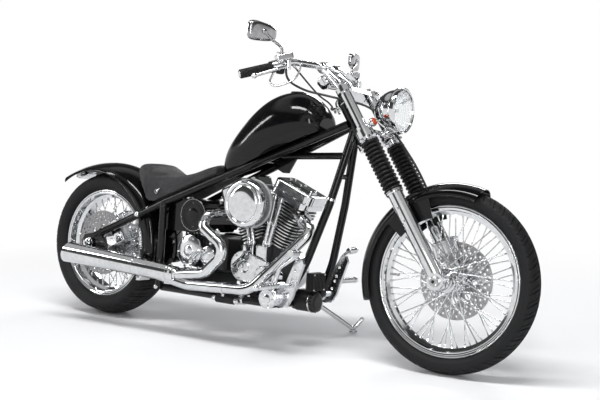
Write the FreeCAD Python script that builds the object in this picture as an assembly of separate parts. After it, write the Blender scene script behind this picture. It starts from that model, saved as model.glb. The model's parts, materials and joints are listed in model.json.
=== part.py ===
import FreeCAD, Part
import math
import os

# Long raked custom motorcycle with an open V-twin engine, parked on its side stand.
# Millimetres and degrees. Everything is laid out on the upright machine:
#   X forward, Y to the rider's left, Z up, origin where the rear tyre meets the ground.
# The steered pieces are then turned by rest_steer, and the whole machine leans onto its stand.

Vector = FreeCAD.Vector
origin = Vector(0, 0, 0)
forward = Vector(1, 0, 0)
left = Vector(0, 1, 0)
up = Vector(0, 0, 1)

# ---- driving dimensions ----
wheelbase = 1745.0
rake = 34.0                # fork's slope back from the vertical
rest_steer = 3.5           # the parked bars rest this far to the left
rest_lean = 6.5            # the parked machine leans this far to the left

front_tyre_radius = 343.0
front_tyre_half_width = 46.0
front_rim_radius = 280.5   # outer edge of the rim's flange
front_rim_half_width = 30.0
rear_tyre_radius = 327.5
rear_tyre_half_width = 90.0
rear_rim_radius = 242.5
rear_rim_half_width = 62.5
front_crown_radius = 46.0  # of the tread's arc across the tyre
rear_crown_radius = 105.0
spoke_count = 60
spoke_radius = 2.2
disc_radius = 146.0
disc_thickness = 5.0
disc_hole_radius = 4.5
disc_hole_count = 30
disc_window_radius = 12.0
disc_window_count = 8
axle_radius = 12.5

leg_spacing = 210.0        # between the two fork legs
leg_to_stem = 60.0         # the legs stand this far ahead of the steering axis
fork_tube_radius = 20.5
slider_radius = 29.0
gaiter_radius = 37.0
gaiter_ribs = 13
slider_below_axle = 34.0   # lengths along the leg, from the axle
slider_top = 372.0
fender_boss_heights = (252.0, 306.0)
gaiter_top = 598.0
lower_clamp_at = 626.0
upper_clamp_at = 826.0
clamp_thickness = 30.0
upper_clamp_thickness = 20.0
fork_top = 842.0
stem_radius = 15.0
neck_radius = 30.0

front_fender_clearance = 21.0   # between each tyre and the outside of its fender
front_fender_radius = front_tyre_radius + front_fender_clearance
front_fender_half = 66.0
rear_fender_clearance = 42.5
rear_fender_radius = rear_tyre_radius + rear_fender_clearance
rear_fender_half = 115.0
fender_wall = 3.0

frame_tube_radius = 16.0
backbone_radius = 14.0
rail_half_gap = 139.0      # upper rails, from the centre plane, back from their bend
rail_neck_y = 24.0
rail_start_x = 26.0
rail_bend_x = 420.0
rail_z_at_axle = 354.0
rail_slope = 0.4366
rail_stop = 18.4           # the upper rails' centre lines end this far behind the steering axis
lower_rail_y = 128.0
lower_rail_z = 176.0
axle_plate_thickness = 12.0

engine_x = 905.0           # crankshaft
engine_z = 292.0
cylinder_angle = 22.5      # each side of the vertical
fin_pitch = 13.0
fin_thickness = 3.5
fin_count = 10
head_fin_count = 5

header_radius = 22.0
muffler_front_radius = 36.0
muffler_rear_radius = 47.0

bar_radius = 12.7
grip_radius = 18.0
grip_length = 130.0

running_gap = 0.05         # radial, for a shaft in its bearing
seat_gap = 0.1             # between pieces that are bolted or pressed together
soft_gap = 0.3

nodes = {}
steered = set()            # nodes that turn with the handlebar


# ---- shape makers ----
def rod(start, end, radius):
    """A round bar between two points."""
    axis = end - start
    return Part.makeCylinder(radius, axis.Length, start, axis)


def bent_wire(points, bends):
    """Straight runs through the points, joined by tangent arcs of the given radii."""
    edges = []
    last = points[0]
    for index in range(1, len(points) - 1):
        corner = points[index]
        before = (corner - points[index - 1]).normalize()
        after = (points[index + 1] - corner).normalize()
        half_turn = before.getAngle(after) / 2
        bend = bends[index - 1] if isinstance(bends, (list, tuple)) else bends
        reach = bend * math.tan(half_turn)
        inward = (after - before).normalize()
        middle = corner + inward * (bend / math.cos(half_turn) - bend)
        arc_start = corner - before * reach
        arc_end = corner + after * reach
        if (arc_start - last).Length > 0.01:
            edges.append(Part.LineSegment(last, arc_start).toShape())
        edges.append(Part.Arc(arc_start, middle, arc_end).toShape())
        last = arc_end
    edges.append(Part.LineSegment(last, points[-1]).toShape())
    return Part.Wire(edges)


def bent_rod(points, bends, radius):
    """A round bar bent along a path."""
    points = [Vector(*p) for p in points]
    path = bent_wire(points, bends)
    circle = Part.Circle(points[0], points[1] - points[0], radius).toShape()
    return path.makePipe(Part.Face(Part.Wire(circle)))


def turned(start, direction, profile):
    """A solid of revolution: profile rows are (distance along the axis, radius)."""
    rows = [Vector(r, 0, a) for a, r in profile]
    if rows[0].x > 0:
        rows.insert(0, Vector(0, 0, rows[0].z))
    if rows[-1].x > 0:
        rows.append(Vector(0, 0, rows[-1].z))
    face = Part.Face(Part.makePolygon(rows + [rows[0]]))
    solid = face.revolve(origin, up, 360)
    solid.Placement = FreeCAD.Placement(start, FreeCAD.Rotation(up, direction))
    return solid


def ring(start, direction, profile):
    """A solid of revolution with a hole: profile rows are (distance along the axis, radius), closed."""
    rows = [Vector(r, 0, a) for a, r in profile]
    face = Part.Face(Part.makePolygon(rows + [rows[0]]))
    solid = face.revolve(origin, up, 360)
    solid.Placement = FreeCAD.Placement(start, FreeCAD.Rotation(up, direction))
    return solid


def block(centre, size, rounding=0.0):
    """A box about its centre, with all its edges rounded."""
    corner = centre - Vector(*size) * 0.5
    box = Part.makeBox(size[0], size[1], size[2], corner)
    return box.makeFillet(rounding, box.Edges) if rounding else box


def slab(outline, y_from, y_to):
    """A plate in an XZ plane: outline rows are (x, z)."""
    rows = [Vector(x, y_from, z) for x, z in outline]
    face = Part.Face(Part.makePolygon(rows + [rows[0]]))
    return face.extrude(Vector(0, y_to - y_from, 0))


def belt_outline(first, first_radius, second, second_radius, y):
    """The wire round two circles in an XZ plane and their two common tangents."""
    a = Vector(first[0], y, first[1])
    b = Vector(second[0], y, second[1])
    span = b - a
    direction = Vector(span).normalize()
    side = Vector(-direction.z, 0, direction.x)
    sine = (first_radius - second_radius) / span.Length
    cosine = math.sqrt(1 - sine * sine)
    upper = direction * sine + side * cosine
    lower = direction * sine - side * cosine
    a_top, a_end, a_low = (a + way * first_radius for way in (upper, direction * -1, lower))
    b_top, b_end, b_low = (b + way * second_radius for way in (upper, direction, lower))
    return Part.Wire([
        Part.Arc(a_top, a_end, a_low).toShape(), Part.LineSegment(a_low, b_low).toShape(),
        Part.Arc(b_low, b_end, b_top).toShape(), Part.LineSegment(b_top, a_top).toShape(),
    ])


def join(shapes):
    """One solid from pieces that overlap."""
    return shapes[0].multiFuse(shapes[1:]).removeSplitter() if len(shapes) > 1 else shapes[0]


# ---- places that several pieces share ----
rear_axle = Vector(0, 0, rear_tyre_radius)
front_axle = Vector(wheelbase, 0, front_tyre_radius)
leg_up = Vector(-math.sin(math.radians(rake)), 0, math.cos(math.radians(rake)))
leg_front = Vector(math.cos(math.radians(rake)), 0, math.sin(math.radians(rake)))
leg_y = leg_spacing / 2


def on_fork(upward, ahead, y):
    """A point given along the fork leg from the axle, ahead of the leg, and to the left."""
    return front_axle + leg_up * upward + leg_front * ahead + left * y


stem_low = on_fork(lower_clamp_at, -leg_to_stem, 0)
axis_slope = leg_up.x / leg_up.z   # how far forward the steering axis goes for each mm up
neck_x = (stem_low.x + axis_slope * (rail_z_at_axle - stem_low.z)) / (1 - axis_slope * rail_slope) - rail_stop


def rail_z(x):
    """Height of the upper rails' centre line."""
    return rail_z_at_axle + x * rail_slope


def rail_y(x):
    """Half the distance between the upper rails' centre lines."""
    share = max(0.0, (x - rail_bend_x) / (neck_x - rail_bend_x))
    return rail_half_gap - share * (rail_half_gap - rail_neck_y)


rail_rise = (frame_tube_radius + 0.1) / math.cos(math.atan(rail_slope))  # from the centre line to the top


def upper_rail(side, radius):
    """One of the frame's two upper rails, from the axle plate to the neck."""
    return bent_rod([(rail_start_x, side * rail_half_gap, rail_z(rail_start_x)),
                     (rail_bend_x, side * rail_half_gap, rail_z(rail_bend_x)),
                     (neck_x, side * rail_neck_y, rail_z(neck_x))], 300.0, radius)


# ---- wheels ----
def tyre(centre, radius, half_width, crown_radius, rim_radius, rim_half_width, bead_depth=14.0):
    """Tread arc, shoulders and sidewalls, down to the beads inside the rim's flanges."""
    shoulder = math.asin(min(0.62 * half_width / crown_radius, 0.75))
    shoulder_y = crown_radius * math.sin(shoulder)
    shoulder_r = radius - crown_radius * (1 - math.cos(shoulder))
    widest_r = rim_radius + 0.45 * (radius - rim_radius)
    bead_y = rim_half_width - 4.0
    lip_r = rim_radius + 1.0
    seat_r = rim_radius - bead_depth

    def at(y, r):
        return Vector(centre.x, centre.y + y, centre.z + r)

    def half(sign):
        wide = at(sign * half_width, widest_r)
        mid_shoulder = at(sign * (shoulder_y + 0.72 * (half_width - shoulder_y)),
                          widest_r + 0.68 * (shoulder_r - widest_r))
        mid_wall = at(sign * (bead_y + 0.80 * (half_width - bead_y)), lip_r + 0.45 * (widest_r - lip_r))
        return wide, mid_shoulder, mid_wall

    wide_l, shoulder_l, wall_l = half(1)
    wide_r, shoulder_r_mid, wall_r = half(-1)
    edges = [
        Part.Arc(at(-shoulder_y, shoulder_r), at(0, radius), at(shoulder_y, shoulder_r)).toShape(),
        Part.Arc(at(shoulder_y, shoulder_r), shoulder_l, wide_l).toShape(),
        Part.Arc(wide_l, wall_l, at(bead_y, lip_r)).toShape(),
        Part.LineSegment(at(bead_y, lip_r), at(bead_y, seat_r)).toShape(),
        Part.LineSegment(at(bead_y, seat_r), at(-bead_y, seat_r)).toShape(),
        Part.LineSegment(at(-bead_y, seat_r), at(-bead_y, lip_r)).toShape(),
        Part.Arc(at(-bead_y, lip_r), wall_r, wide_r).toShape(),
        Part.Arc(wide_r, shoulder_r_mid, at(-shoulder_y, shoulder_r)).toShape(),
    ]
    return Part.Face(Part.Wire(edges)).revolve(centre, left, 360)


def spoke_wheel(centre, rim_radius, rim_half_width, hub_half_width, hub_radius, flange_radius,
                bead_depth=14.0):
    """Drop-centre rim, hub with two flanges, and crossed spokes on both sides."""
    seat_r = rim_radius - bead_depth - soft_gap
    well_r = seat_r - 16.0
    inner_y = rim_half_width - 4.0 + soft_gap
    wall = 4.5
    rim = ring(centre, left, [
        (-rim_half_width, rim_radius), (-inner_y, rim_radius), (-inner_y, seat_r),
        (-0.45 * rim_half_width, seat_r - 2), (-0.3 * rim_half_width, well_r),
        (0.3 * rim_half_width, well_r), (0.45 * rim_half_width, seat_r - 2),
        (inner_y, seat_r), (inner_y, rim_radius), (rim_half_width, rim_radius),
        (rim_half_width, seat_r - wall), (0.5 * rim_half_width, seat_r - wall - 3),
        (0.34 * rim_half_width, well_r - wall), (-0.34 * rim_half_width, well_r - wall),
        (-0.5 * rim_half_width, seat_r - wall - 3), (-rim_half_width, seat_r - wall),
    ])
    flange_y = hub_half_width - 12.0
    bore = axle_radius + running_gap
    hub = ring(centre, left, [
        (-hub_half_width, bore), (-hub_half_width, hub_radius), (-flange_y - 5, hub_radius),
        (-flange_y - 3, flange_radius), (-flange_y + 3, flange_radius), (-flange_y + 8, hub_radius),
        (flange_y - 8, hub_radius), (flange_y - 3, flange_radius), (flange_y + 3, flange_radius),
        (flange_y + 5, hub_radius), (hub_half_width, hub_radius), (hub_half_width, bore),
    ])
    spokes = []
    nipple_r = well_r - wall + 1.0
    step = 360.0 / spoke_count
    sets = [  # side, which way it leans round the hub, rim hole's place in each group of four
        (1, 1, 0),
        (-1, 1, 1),
        (1, -1, 2),
        (-1, -1, 3),
    ]
    lean_round_hub = 58.0
    for side, way, place in sets:
        for group in range(spoke_count // 4):
            at_rim = math.radians(step * (4 * group + place))
            at_hub = at_rim + math.radians(way * lean_round_hub)
            hub_r = flange_radius - 5.0
            foot_y = side * (flange_y + way * (3.0 + 0.7 * spoke_radius))
            head_y = side * 0.16 * rim_half_width
            foot = centre + Vector(hub_r * math.cos(at_hub), foot_y, hub_r * math.sin(at_hub))
            head = centre + Vector(nipple_r * math.cos(at_rim), head_y, nipple_r * math.sin(at_rim))
            spokes.append(rod(foot, head, spoke_radius))
    return join([hub, rim] + spokes)


def drilled_disc(centre, y, radius, inner_radius, thickness, hole_rows):
    """A flat disc with rings of holes: hole_rows are (ring radius, hole radius, count, first angle)."""
    middle = centre + left * y
    body = ring(middle, left, [
        (-thickness / 2, inner_radius), (-thickness / 2, radius),
        (thickness / 2, radius), (thickness / 2, inner_radius),
    ])
    holes = []
    for ring_radius, hole_radius, count, first in hole_rows:
        for index in range(count):
            angle = math.radians(first + 360.0 * index / count)
            place = middle + Vector(ring_radius * math.cos(angle), -thickness, ring_radius * math.sin(angle))
            holes.append(Part.makeCylinder(hole_radius, 2 * thickness, place, left))
    return body.cut(Part.makeCompound(holes))


front_hub_half = 50.0
rear_hub_half = 74.0
front_hub_radius = 26.0
rear_hub_radius = 32.0
front_disc_y = front_hub_half - 1.5
rear_disc_y = 1.5 - rear_hub_half
pulley_radius = 142.0
belt_width = 20.0
belt_thickness = 5.0
belt_y = 107.0

nodes["front_tyre"] = tyre(front_axle, front_tyre_radius, front_tyre_half_width, front_crown_radius,
                           front_rim_radius, front_rim_half_width)
nodes["rear_tyre"] = tyre(rear_axle, rear_tyre_radius, rear_tyre_half_width, rear_crown_radius,
                          rear_rim_radius, rear_rim_half_width)
nodes["front_spoke_wheel"] = spoke_wheel(front_axle, front_rim_radius, front_rim_half_width,
                                         front_hub_half, front_hub_radius, 44.0)
nodes["rear_spoke_wheel"] = spoke_wheel(rear_axle, rear_rim_radius, rear_rim_half_width,
                                        rear_hub_half, rear_hub_radius, 52.0)
disc_rows = [  # ring radius, hole radius, count, first angle
    (104.0, disc_hole_radius, disc_hole_count, 0.0),
    (118.0, disc_hole_radius, disc_hole_count, 6.0),
    (132.0, disc_hole_radius, disc_hole_count, 0.0),
    (74.0, disc_window_radius, disc_window_count, 0.0),
]
nodes["front_disc"] = drilled_disc(front_axle, front_disc_y, disc_radius, front_hub_radius + seat_gap,
                                   disc_thickness, disc_rows)
nodes["rear_disc"] = drilled_disc(rear_axle, rear_disc_y, disc_radius, rear_hub_radius + seat_gap,
                                  disc_thickness, disc_rows)

# The rear pulley: a drilled web on the hub's left end, and a flat rim for the belt.
pulley_web_y = belt_y - belt_width / 2
pulley_window_count = 14
pulley_hole_count = 10
pulley_rows = [  # ring radius, hole radius, count, first angle
    (100.0, 13.0, pulley_window_count, 0.0),
    (72.0, 9.0, pulley_hole_count, 18.0),
]
pulley_web = drilled_disc(rear_axle, pulley_web_y + 3.0, pulley_radius - 4.0, axle_radius + 6.0, 6.0,
                          pulley_rows)
pulley_rim = ring(rear_axle + left * belt_y, left, [
    (-belt_width / 2, pulley_radius - 10), (-belt_width / 2, pulley_radius),
    (belt_width / 2, pulley_radius), (belt_width / 2, pulley_radius - 10),
])
pulley_boss = ring(rear_axle, left, [
    (rear_hub_half + seat_gap, axle_radius + 6.0), (rear_hub_half + seat_gap, rear_hub_radius),
    (pulley_web_y + 6.0, rear_hub_radius), (pulley_web_y + 6.0, axle_radius + 6.0),
])
nodes["rear_pulley"] = join([pulley_rim, pulley_web, pulley_boss])
steered.update(["front_tyre", "front_spoke_wheel", "front_disc"])


# ---- fork ----
leg_foot = -slider_below_axle
sliders = []
gaiters = []
crown_parts = []
for side in (1, -1):
    foot = on_fork(leg_foot, 0, side * leg_y)
    top = on_fork(slider_top, 0, side * leg_y)
    leg = turned(foot, leg_up, [
        (0, slider_radius - 8), (8, slider_radius), (slider_top - leg_foot - 4, slider_radius),
        (slider_top - leg_foot, slider_radius - 3),
    ])
    cap = rod(front_axle + left * side * (leg_y - slider_radius - 1),
              front_axle + left * side * (leg_y + slider_radius + 6), slider_radius + 3)
    fender_bosses = [rod(on_fork(height, 0, side * (leg_y - slider_radius + 4)),
                         on_fork(height, 0, side * (front_fender_half + seat_gap)), 11)
                     for height in fender_boss_heights]
    axle_hole = rod(front_axle - left * 200, front_axle + left * 200, axle_radius + seat_gap)
    sliders.append(join([leg, cap] + fender_bosses).cut(axle_hole))
    rows = [(0, fork_tube_radius + seat_gap), (0, gaiter_radius - 3)]
    pitch = (gaiter_top - slider_top - 10) / gaiter_ribs
    for rib in range(gaiter_ribs):
        rows.append((5 + rib * pitch, gaiter_radius - 8))
        rows.append((5 + (rib + 0.25) * pitch, gaiter_radius))
        rows.append((5 + (rib + 0.6) * pitch, gaiter_radius))
    rows += [(gaiter_top - slider_top - 5, gaiter_radius - 8), (gaiter_top - slider_top, gaiter_radius - 6),
             (gaiter_top - slider_top, fork_tube_radius + seat_gap)]
    gaiters.append(ring(on_fork(slider_top + seat_gap, 0, side * leg_y), leg_up, rows))
    crown_parts.append(rod(on_fork(slider_top + seat_gap, 0, side * leg_y),
                           on_fork(fork_top - 6, 0, side * leg_y), fork_tube_radius))
    crown_parts.append(turned(on_fork(fork_top - 8, 0, side * leg_y), leg_up, [
        (0, 24), (10, 24), (16, 19), (18, 10)]))


def clamp(height, thickness, leg_boss, stem_boss, web):
    """A triple clamp: bosses round both legs and the stem, joined by a web."""
    lower = height - thickness / 2
    parts = [rod(on_fork(lower, 0, side * leg_y), on_fork(lower + thickness, 0, side * leg_y), leg_boss)
             for side in (1, -1)]
    parts.append(rod(on_fork(lower, -leg_to_stem, 0), on_fork(lower + thickness, -leg_to_stem, 0), stem_boss))
    outline = [  # ahead of the leg, to the left
        (web, -leg_y), (web, leg_y), (-web, leg_y),
        (-leg_to_stem - stem_boss * 0.8, stem_boss * 0.6), (-leg_to_stem - stem_boss * 0.8, -stem_boss * 0.6),
        (-web, -leg_y),
    ]
    rows = [on_fork(lower + 2, ahead, y) for ahead, y in outline]
    parts.append(Part.Face(Part.makePolygon(rows + [rows[0]])).extrude(leg_up * (thickness - 4)))
    return join(parts)


stem = rod(on_fork(lower_clamp_at - 5, -leg_to_stem, 0), on_fork(upper_clamp_at + 5, -leg_to_stem, 0),
           stem_radius)
stem_nut = rod(on_fork(upper_clamp_at, -leg_to_stem, 0), on_fork(upper_clamp_at + 24, -leg_to_stem, 0), 17)
crown_parts += [clamp(lower_clamp_at, clamp_thickness, 34.0, 36.0, 24.0),
                clamp(upper_clamp_at, upper_clamp_thickness, 32.0, 32.0, 22.0), stem, stem_nut]
riser_y = 46.0
riser_at = 30.0            # behind the legs' plane
bar_clamp = Vector(1150.0, 0.0, 1122.0)
riser_foot = on_fork(upper_clamp_at + upper_clamp_thickness / 2 - 2, -riser_at, 0)
nodes["fork_crown"] = join(crown_parts)
nodes["fork_gaiters"] = Part.makeCompound(gaiters)
nodes["fork_sliders"] = Part.makeCompound(sliders)

axle_end = leg_y + slider_radius + 6
axle_bore = 6.0
spacer = axle_radius + 6.0
front_axle_shaft = turned(front_axle - left * (axle_end + 14), left, [
    (0, 14), (4, 19), (13.9, 19), (13.9, axle_radius), (2 * axle_end + 14.1, axle_radius),
    (2 * axle_end + 14.1, 19), (2 * axle_end + 24, 19), (2 * axle_end + 28, 14)])
collars = [ring(front_axle, left, [
    (side * (front_hub_half + 0.3), axle_radius - 1), (side * (front_hub_half + 0.3), spacer),
    (side * (leg_y - slider_radius - 1 - seat_gap), spacer), (side * (leg_y - slider_radius - 1 - seat_gap),
                                                              axle_radius - 1)]) for side in (1, -1)]
nodes["front_axle"] = join([front_axle_shaft] + collars).cut(
    rod(front_axle - left * 300, front_axle + left * 300, axle_bore))


# ---- front fender: an arched shell round the tyre, on a plate inside each leg ----
def fender_wire(centre, radius, half_width, skirt_radius, crown_radius, shoulder_radius, wall=0.0):
    """A fender's section above a centre: crown, shoulders and skirts, hollow where a wall is given."""
    crown_z = radius - crown_radius
    shoulder_y = half_width - shoulder_radius
    shoulder_z = crown_z + math.sqrt((crown_radius - shoulder_radius) ** 2 - shoulder_y ** 2)
    middle = (math.pi / 2 + math.atan2(shoulder_y, shoulder_z - crown_z)) / 2

    def at(y, z):
        return centre + Vector(0, y, z)

    def skin(inset):
        edge = half_width - inset
        bend = shoulder_radius - inset
        reach = (crown_radius - inset) / (crown_radius - shoulder_radius)
        joint_y = shoulder_y * reach
        joint_z = crown_z + (shoulder_z - crown_z) * reach
        corner_y = shoulder_y + bend * math.sin(middle)
        corner_z = shoulder_z + bend * math.cos(middle)
        return [
            Part.LineSegment(at(-edge, skirt_radius), at(-edge, shoulder_z)).toShape(),
            Part.Arc(at(-edge, shoulder_z), at(-corner_y, corner_z), at(-joint_y, joint_z)).toShape(),
            Part.Arc(at(-joint_y, joint_z), at(0, radius - inset), at(joint_y, joint_z)).toShape(),
            Part.Arc(at(joint_y, joint_z), at(corner_y, corner_z), at(edge, shoulder_z)).toShape(),
            Part.LineSegment(at(edge, shoulder_z), at(edge, skirt_radius)).toShape(),
        ]

    edges = skin(0.0)
    if wall:
        inner = half_width - wall
        edges.append(Part.LineSegment(at(half_width, skirt_radius), at(inner, skirt_radius)).toShape())
        edges += list(reversed(skin(wall)))
        edges.append(Part.LineSegment(at(-inner, skirt_radius), at(-half_width, skirt_radius)).toShape())
    else:
        edges.append(Part.LineSegment(at(half_width, skirt_radius), at(-half_width, skirt_radius)).toShape())
    return Part.Wire(Part.__sortEdges__(edges))


def arc_strip(centre, wire, from_angle, to_angle):
    """Turn a section about a lateral axis; angles are from straight up, positive to the rear."""
    face = Part.Face(wire)
    face.rotate(centre, left, -from_angle)
    return face.revolve(centre, left, -(to_angle - from_angle))


front_crown = 80.0         # radius of the section's arc across the top
front_shoulder = 24.0
front_skirt = front_fender_radius - 52.0   # the skirts' lower edge, from the axle
front_fender_wire = fender_wire(front_axle, front_fender_radius, front_fender_half, front_skirt,
                                front_crown, front_shoulder, fender_wall)
front_fender_shell = arc_strip(front_axle, front_fender_wire, -18.0, 108.0)
stay_outer = front_fender_radius - front_crown + math.sqrt(
    (front_crown - front_shoulder) ** 2 - (front_fender_half - front_shoulder) ** 2)
stays = []
for side in (1, -1):
    lug = ring(front_axle, left, [
        (side * (front_fender_half - fender_wall), 236.0),
        (side * (front_fender_half - fender_wall), stay_outer),
        (side * front_fender_half, stay_outer), (side * front_fender_half, 236.0)])
    reach = 420.0
    corners = [front_axle - left * 100]
    for angle in (16.0, 52.0):
        corners.append(front_axle - left * 100 + Vector(-reach * math.sin(math.radians(angle)), 0,
                                                        reach * math.cos(math.radians(angle))))
    sector = Part.Face(Part.makePolygon(corners + [corners[0]])).extrude(left * 200)
    stays.append(lug.common(sector))
nodes["front_fender"] = join([front_fender_shell] + stays)

# ---- front brake caliper on the left leg ----
caliper_bite = 14.0        # how far the disc reaches past the caliper's middle
pad_gap = 2.5
caliper_angle = math.radians(24.0)


def caliper(centre, disc_y, angle, size, middle_y):
    """A caliper over a disc's edge, at an angle from straight up; middle_y is the body's own middle."""
    out = Vector(-math.sin(angle), 0, math.cos(angle))
    across = Vector(math.cos(angle), 0, math.sin(angle))
    place = centre + out * (disc_radius - caliper_bite) + left * middle_y
    body = block(origin, size, 7.0)
    slot_top = caliper_bite + 4.0
    slot_low = -size[2] / 2 - 5.0
    slot = block(Vector(0, disc_y - middle_y, (slot_top + slot_low) / 2),
                 (size[0] + 2, disc_thickness + 2 * pad_gap, slot_top - slot_low))
    body = body.cut(slot)
    body.Placement = FreeCAD.Placement(place, FreeCAD.Rotation(across, left, out, "ZXY"))
    return body


caliper_bolts = [rod(on_fork(height, 6, 60), on_fork(height, 6, leg_y - 16), 9) for height in (104, 158)]
front_caliper_size = (104.0, 34.0, 62.0)
nodes["front_caliper"] = join([caliper(front_axle, front_disc_y, caliper_angle, front_caliper_size, 56.0)]
                              + caliper_bolts).cut(nodes["fork_sliders"])
steered.update(["fork_crown", "fork_gaiters", "fork_sliders", "front_axle", "front_fender", "front_caliper"])


# ---- headlight, bars and what they carry ----
headlight_radius = 89.0
headlight_depth = 118.0
headlight_centre = on_fork(lower_clamp_at + 32.2, 140.0, 0)   # of the lens
headlight = turned(headlight_centre, forward, [
    (-headlight_depth, 14), (-headlight_depth + 8, 36), (-headlight_depth + 26, 56),
    (-headlight_depth + 60, 76), (-24, headlight_radius - 8), (-22, headlight_radius - 2),
    (-14, headlight_radius), (-4, headlight_radius), (0, headlight_radius - 4), (5, 50), (7, 0)])
lamp_post_top = headlight_centre - forward * 46 - up * (headlight_radius - 14)
lamp_post_foot = on_fork(lower_clamp_at, 20, 0)
lamp_bracket = [rod(lamp_post_foot, lamp_post_top, 10)]
lamp_bracket.append(block(lamp_post_top - up * 2, (44, 36, 12), 3))
nodes["headlight"] = join([headlight] + lamp_bracket).cut(nodes["fork_crown"])

bar_rows = [  # x, y, z of the bar's corners from the middle to its left end
    (1150.0, 0.0, 1122.0),
    (1150.0, 120.0, 1122.0),
    (1122.0, 232.0, 1118.0),
    (994.0, 388.0, 1048.0),
]
left_bar = [Vector(*row) for row in bar_rows]
bar_points = [Vector(p.x, -p.y, p.z) for p in reversed(left_bar[1:])] + left_bar[1:]
bar = bent_rod(bar_points, [60.0, 90.0, 90.0, 60.0], bar_radius)
riser_parts = [bar]
for side in (1, -1):
    foot = riser_foot + left * side * riser_y
    top = bar_clamp + left * side * riser_y
    rise = foot + leg_up * 62
    riser_parts.append(bent_rod([foot, rise, top - forward * 2], 40.0, 15.0))
    riser_parts.append(rod(top - left * 17, top + left * 17, 23.0))
nodes["handlebar"] = join(riser_parts).cut(nodes["fork_crown"])

grips = []
levers = []
mirrors = []
for side in (1, -1):
    end = Vector(bar_rows[3][0], side * bar_rows[3][1], bar_rows[3][2])
    bend = Vector(bar_rows[2][0], side * bar_rows[2][1], bar_rows[2][2])
    inward = (bend - end).normalize()
    grip_foot = end - inward * 6
    grips.append(turned(grip_foot, inward, [
        (0, 12), (3, grip_radius), (grip_length - 6, grip_radius), (grip_length - 4, grip_radius + 4),
        (grip_length, grip_radius + 4)]).cut(rod(end, end + inward * 200, bar_radius + seat_gap)))
    housing_at = end + inward * (grip_length + 18)
    housing = rod(housing_at - inward * 22, housing_at + inward * 26, 23)
    master_base = housing_at + inward * 14
    reservoir = block(origin, (66, 40, 26), 5)
    reservoir.Placement = FreeCAD.Placement(master_base + up * 30 + forward * 12,
                                            FreeCAD.Rotation(inward, left * side, up, "XZY"))
    lever_root = housing_at + inward * 8 + forward * 40 - up * 2
    pivot = rod(lever_root - up * 14, lever_root + up * 14, 12)
    bridge = rod(housing_at + inward * 8, lever_root, 11)
    lever_tip = end + forward * 62 - up * 6
    blade = bent_rod([lever_root, lever_root - inward * 52 + forward * 16, lever_tip], 60.0, 6.5)
    ball = Part.makeSphere(11, lever_tip)
    levers.append(join([housing, reservoir, pivot, bridge, blade, ball]).cut(
        rod(end, end + inward * 400, bar_radius + seat_gap)).cut(grips[-1]))
    mirror_root = master_base + up * 40
    mirror_at = Vector(1052.0, side * 352.0, 1214.0)
    stem_piece = rod(mirror_root, mirror_at + forward * 12, 5.5)
    mirror_head = block(origin, (136, 22, 84), 8)
    mirror_head.Placement = FreeCAD.Placement(mirror_at, FreeCAD.Rotation(
        Vector(0.28 * side, -1, 0.0), forward, up, "XZY"))
    mirrors.append(join([stem_piece, mirror_head]).cut(levers[-1]))
nodes["grips"] = Part.makeCompound(grips)
nodes["hand_controls"] = Part.makeCompound(levers)
nodes["mirrors"] = Part.makeCompound(mirrors)

speedometer_at = Vector(1135.0, 0.0, 1082.0)
speedometer_face = Vector(-0.62, 0, 0.78)
speedometer = turned(speedometer_at, speedometer_face, [(-34, 20), (-28, 34), (0, 40), (8, 40), (10, 36)])
speedometer_arm = rod(speedometer_at - speedometer_face * 4, riser_foot + leg_up * 2, 8)
nodes["speedometer"] = join([speedometer, speedometer_arm]).cut(nodes["handlebar"]).cut(nodes["fork_crown"])

marker_lamps = []
for side in (1, -1):
    root = on_fork(lower_clamp_at + 26, 0, side * leg_y)
    band = ring(root, leg_up, [(-9, fork_tube_radius + seat_gap), (-9, fork_tube_radius + 6),
                               (9, fork_tube_radius + 6), (9, fork_tube_radius + seat_gap)])
    stalk = rod(root + leg_front * (fork_tube_radius + 3), root + leg_front * 36, 5)
    lamp = turned(root + leg_front * 34, leg_front, [(0, 12), (6, 17), (26, 17), (30, 12)])
    marker_lamps.append(join([band, stalk, lamp]))
nodes["marker_lamps"] = Part.makeCompound(marker_lamps)
steered.update(["headlight", "handlebar", "grips", "hand_controls", "mirrors", "speedometer", "marker_lamps"])

# ---- frame ----
neck_low = on_fork(lower_clamp_at + clamp_thickness / 2 + 1.5, -leg_to_stem, 0)
neck_high = on_fork(upper_clamp_at - upper_clamp_thickness / 2 - 1.5, -leg_to_stem, 0)
neck_bore = rod(neck_low - leg_up * 20, neck_high + leg_up * 20, stem_radius + running_gap)
neck_tube = rod(neck_low, neck_high, neck_radius)
rail_parts = [upper_rail(side, frame_tube_radius).cut(neck_tube).cut(neck_bore) for side in (1, -1)]
frame_rails = Part.makeCompound(rail_parts)

plate_outline = [(-52, 296), (-58, 330), (-44, 362), (18, 376), (64, 372), (96, 300), (60, 286)]
post_x = 430.0
post_y = 144.0             # outside the belt
stay_radius = 10.0
stay_front_z = 262.0
stay_rear_z = 306.0
axle_nut_y = rail_half_gap + frame_tube_radius + 1
rear_parts = []
for side in (1, -1):
    inner = side * (rail_half_gap - axle_plate_thickness / 2)
    rear_parts.append(slab(plate_outline, inner, inner + side * axle_plate_thickness))
    rear_parts.append(rod(Vector(40, side * post_y, stay_rear_z), Vector(post_x, side * post_y, stay_front_z),
                          stay_radius))
    rear_parts.append(rod(Vector(post_x, side * post_y, lower_rail_z - 6),
                          Vector(post_x, side * post_y, rail_z(post_x)), frame_tube_radius))
    rear_parts.append(rod(Vector(0, inner, rear_axle.z), Vector(0, side * axle_nut_y, rear_axle.z), 22))
axle_hole = rod(rear_axle - left * 200, rear_axle + left * 200, axle_radius + seat_gap)
rear_frame = join(rear_parts).cut(frame_rails).cut(axle_hole)

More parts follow.
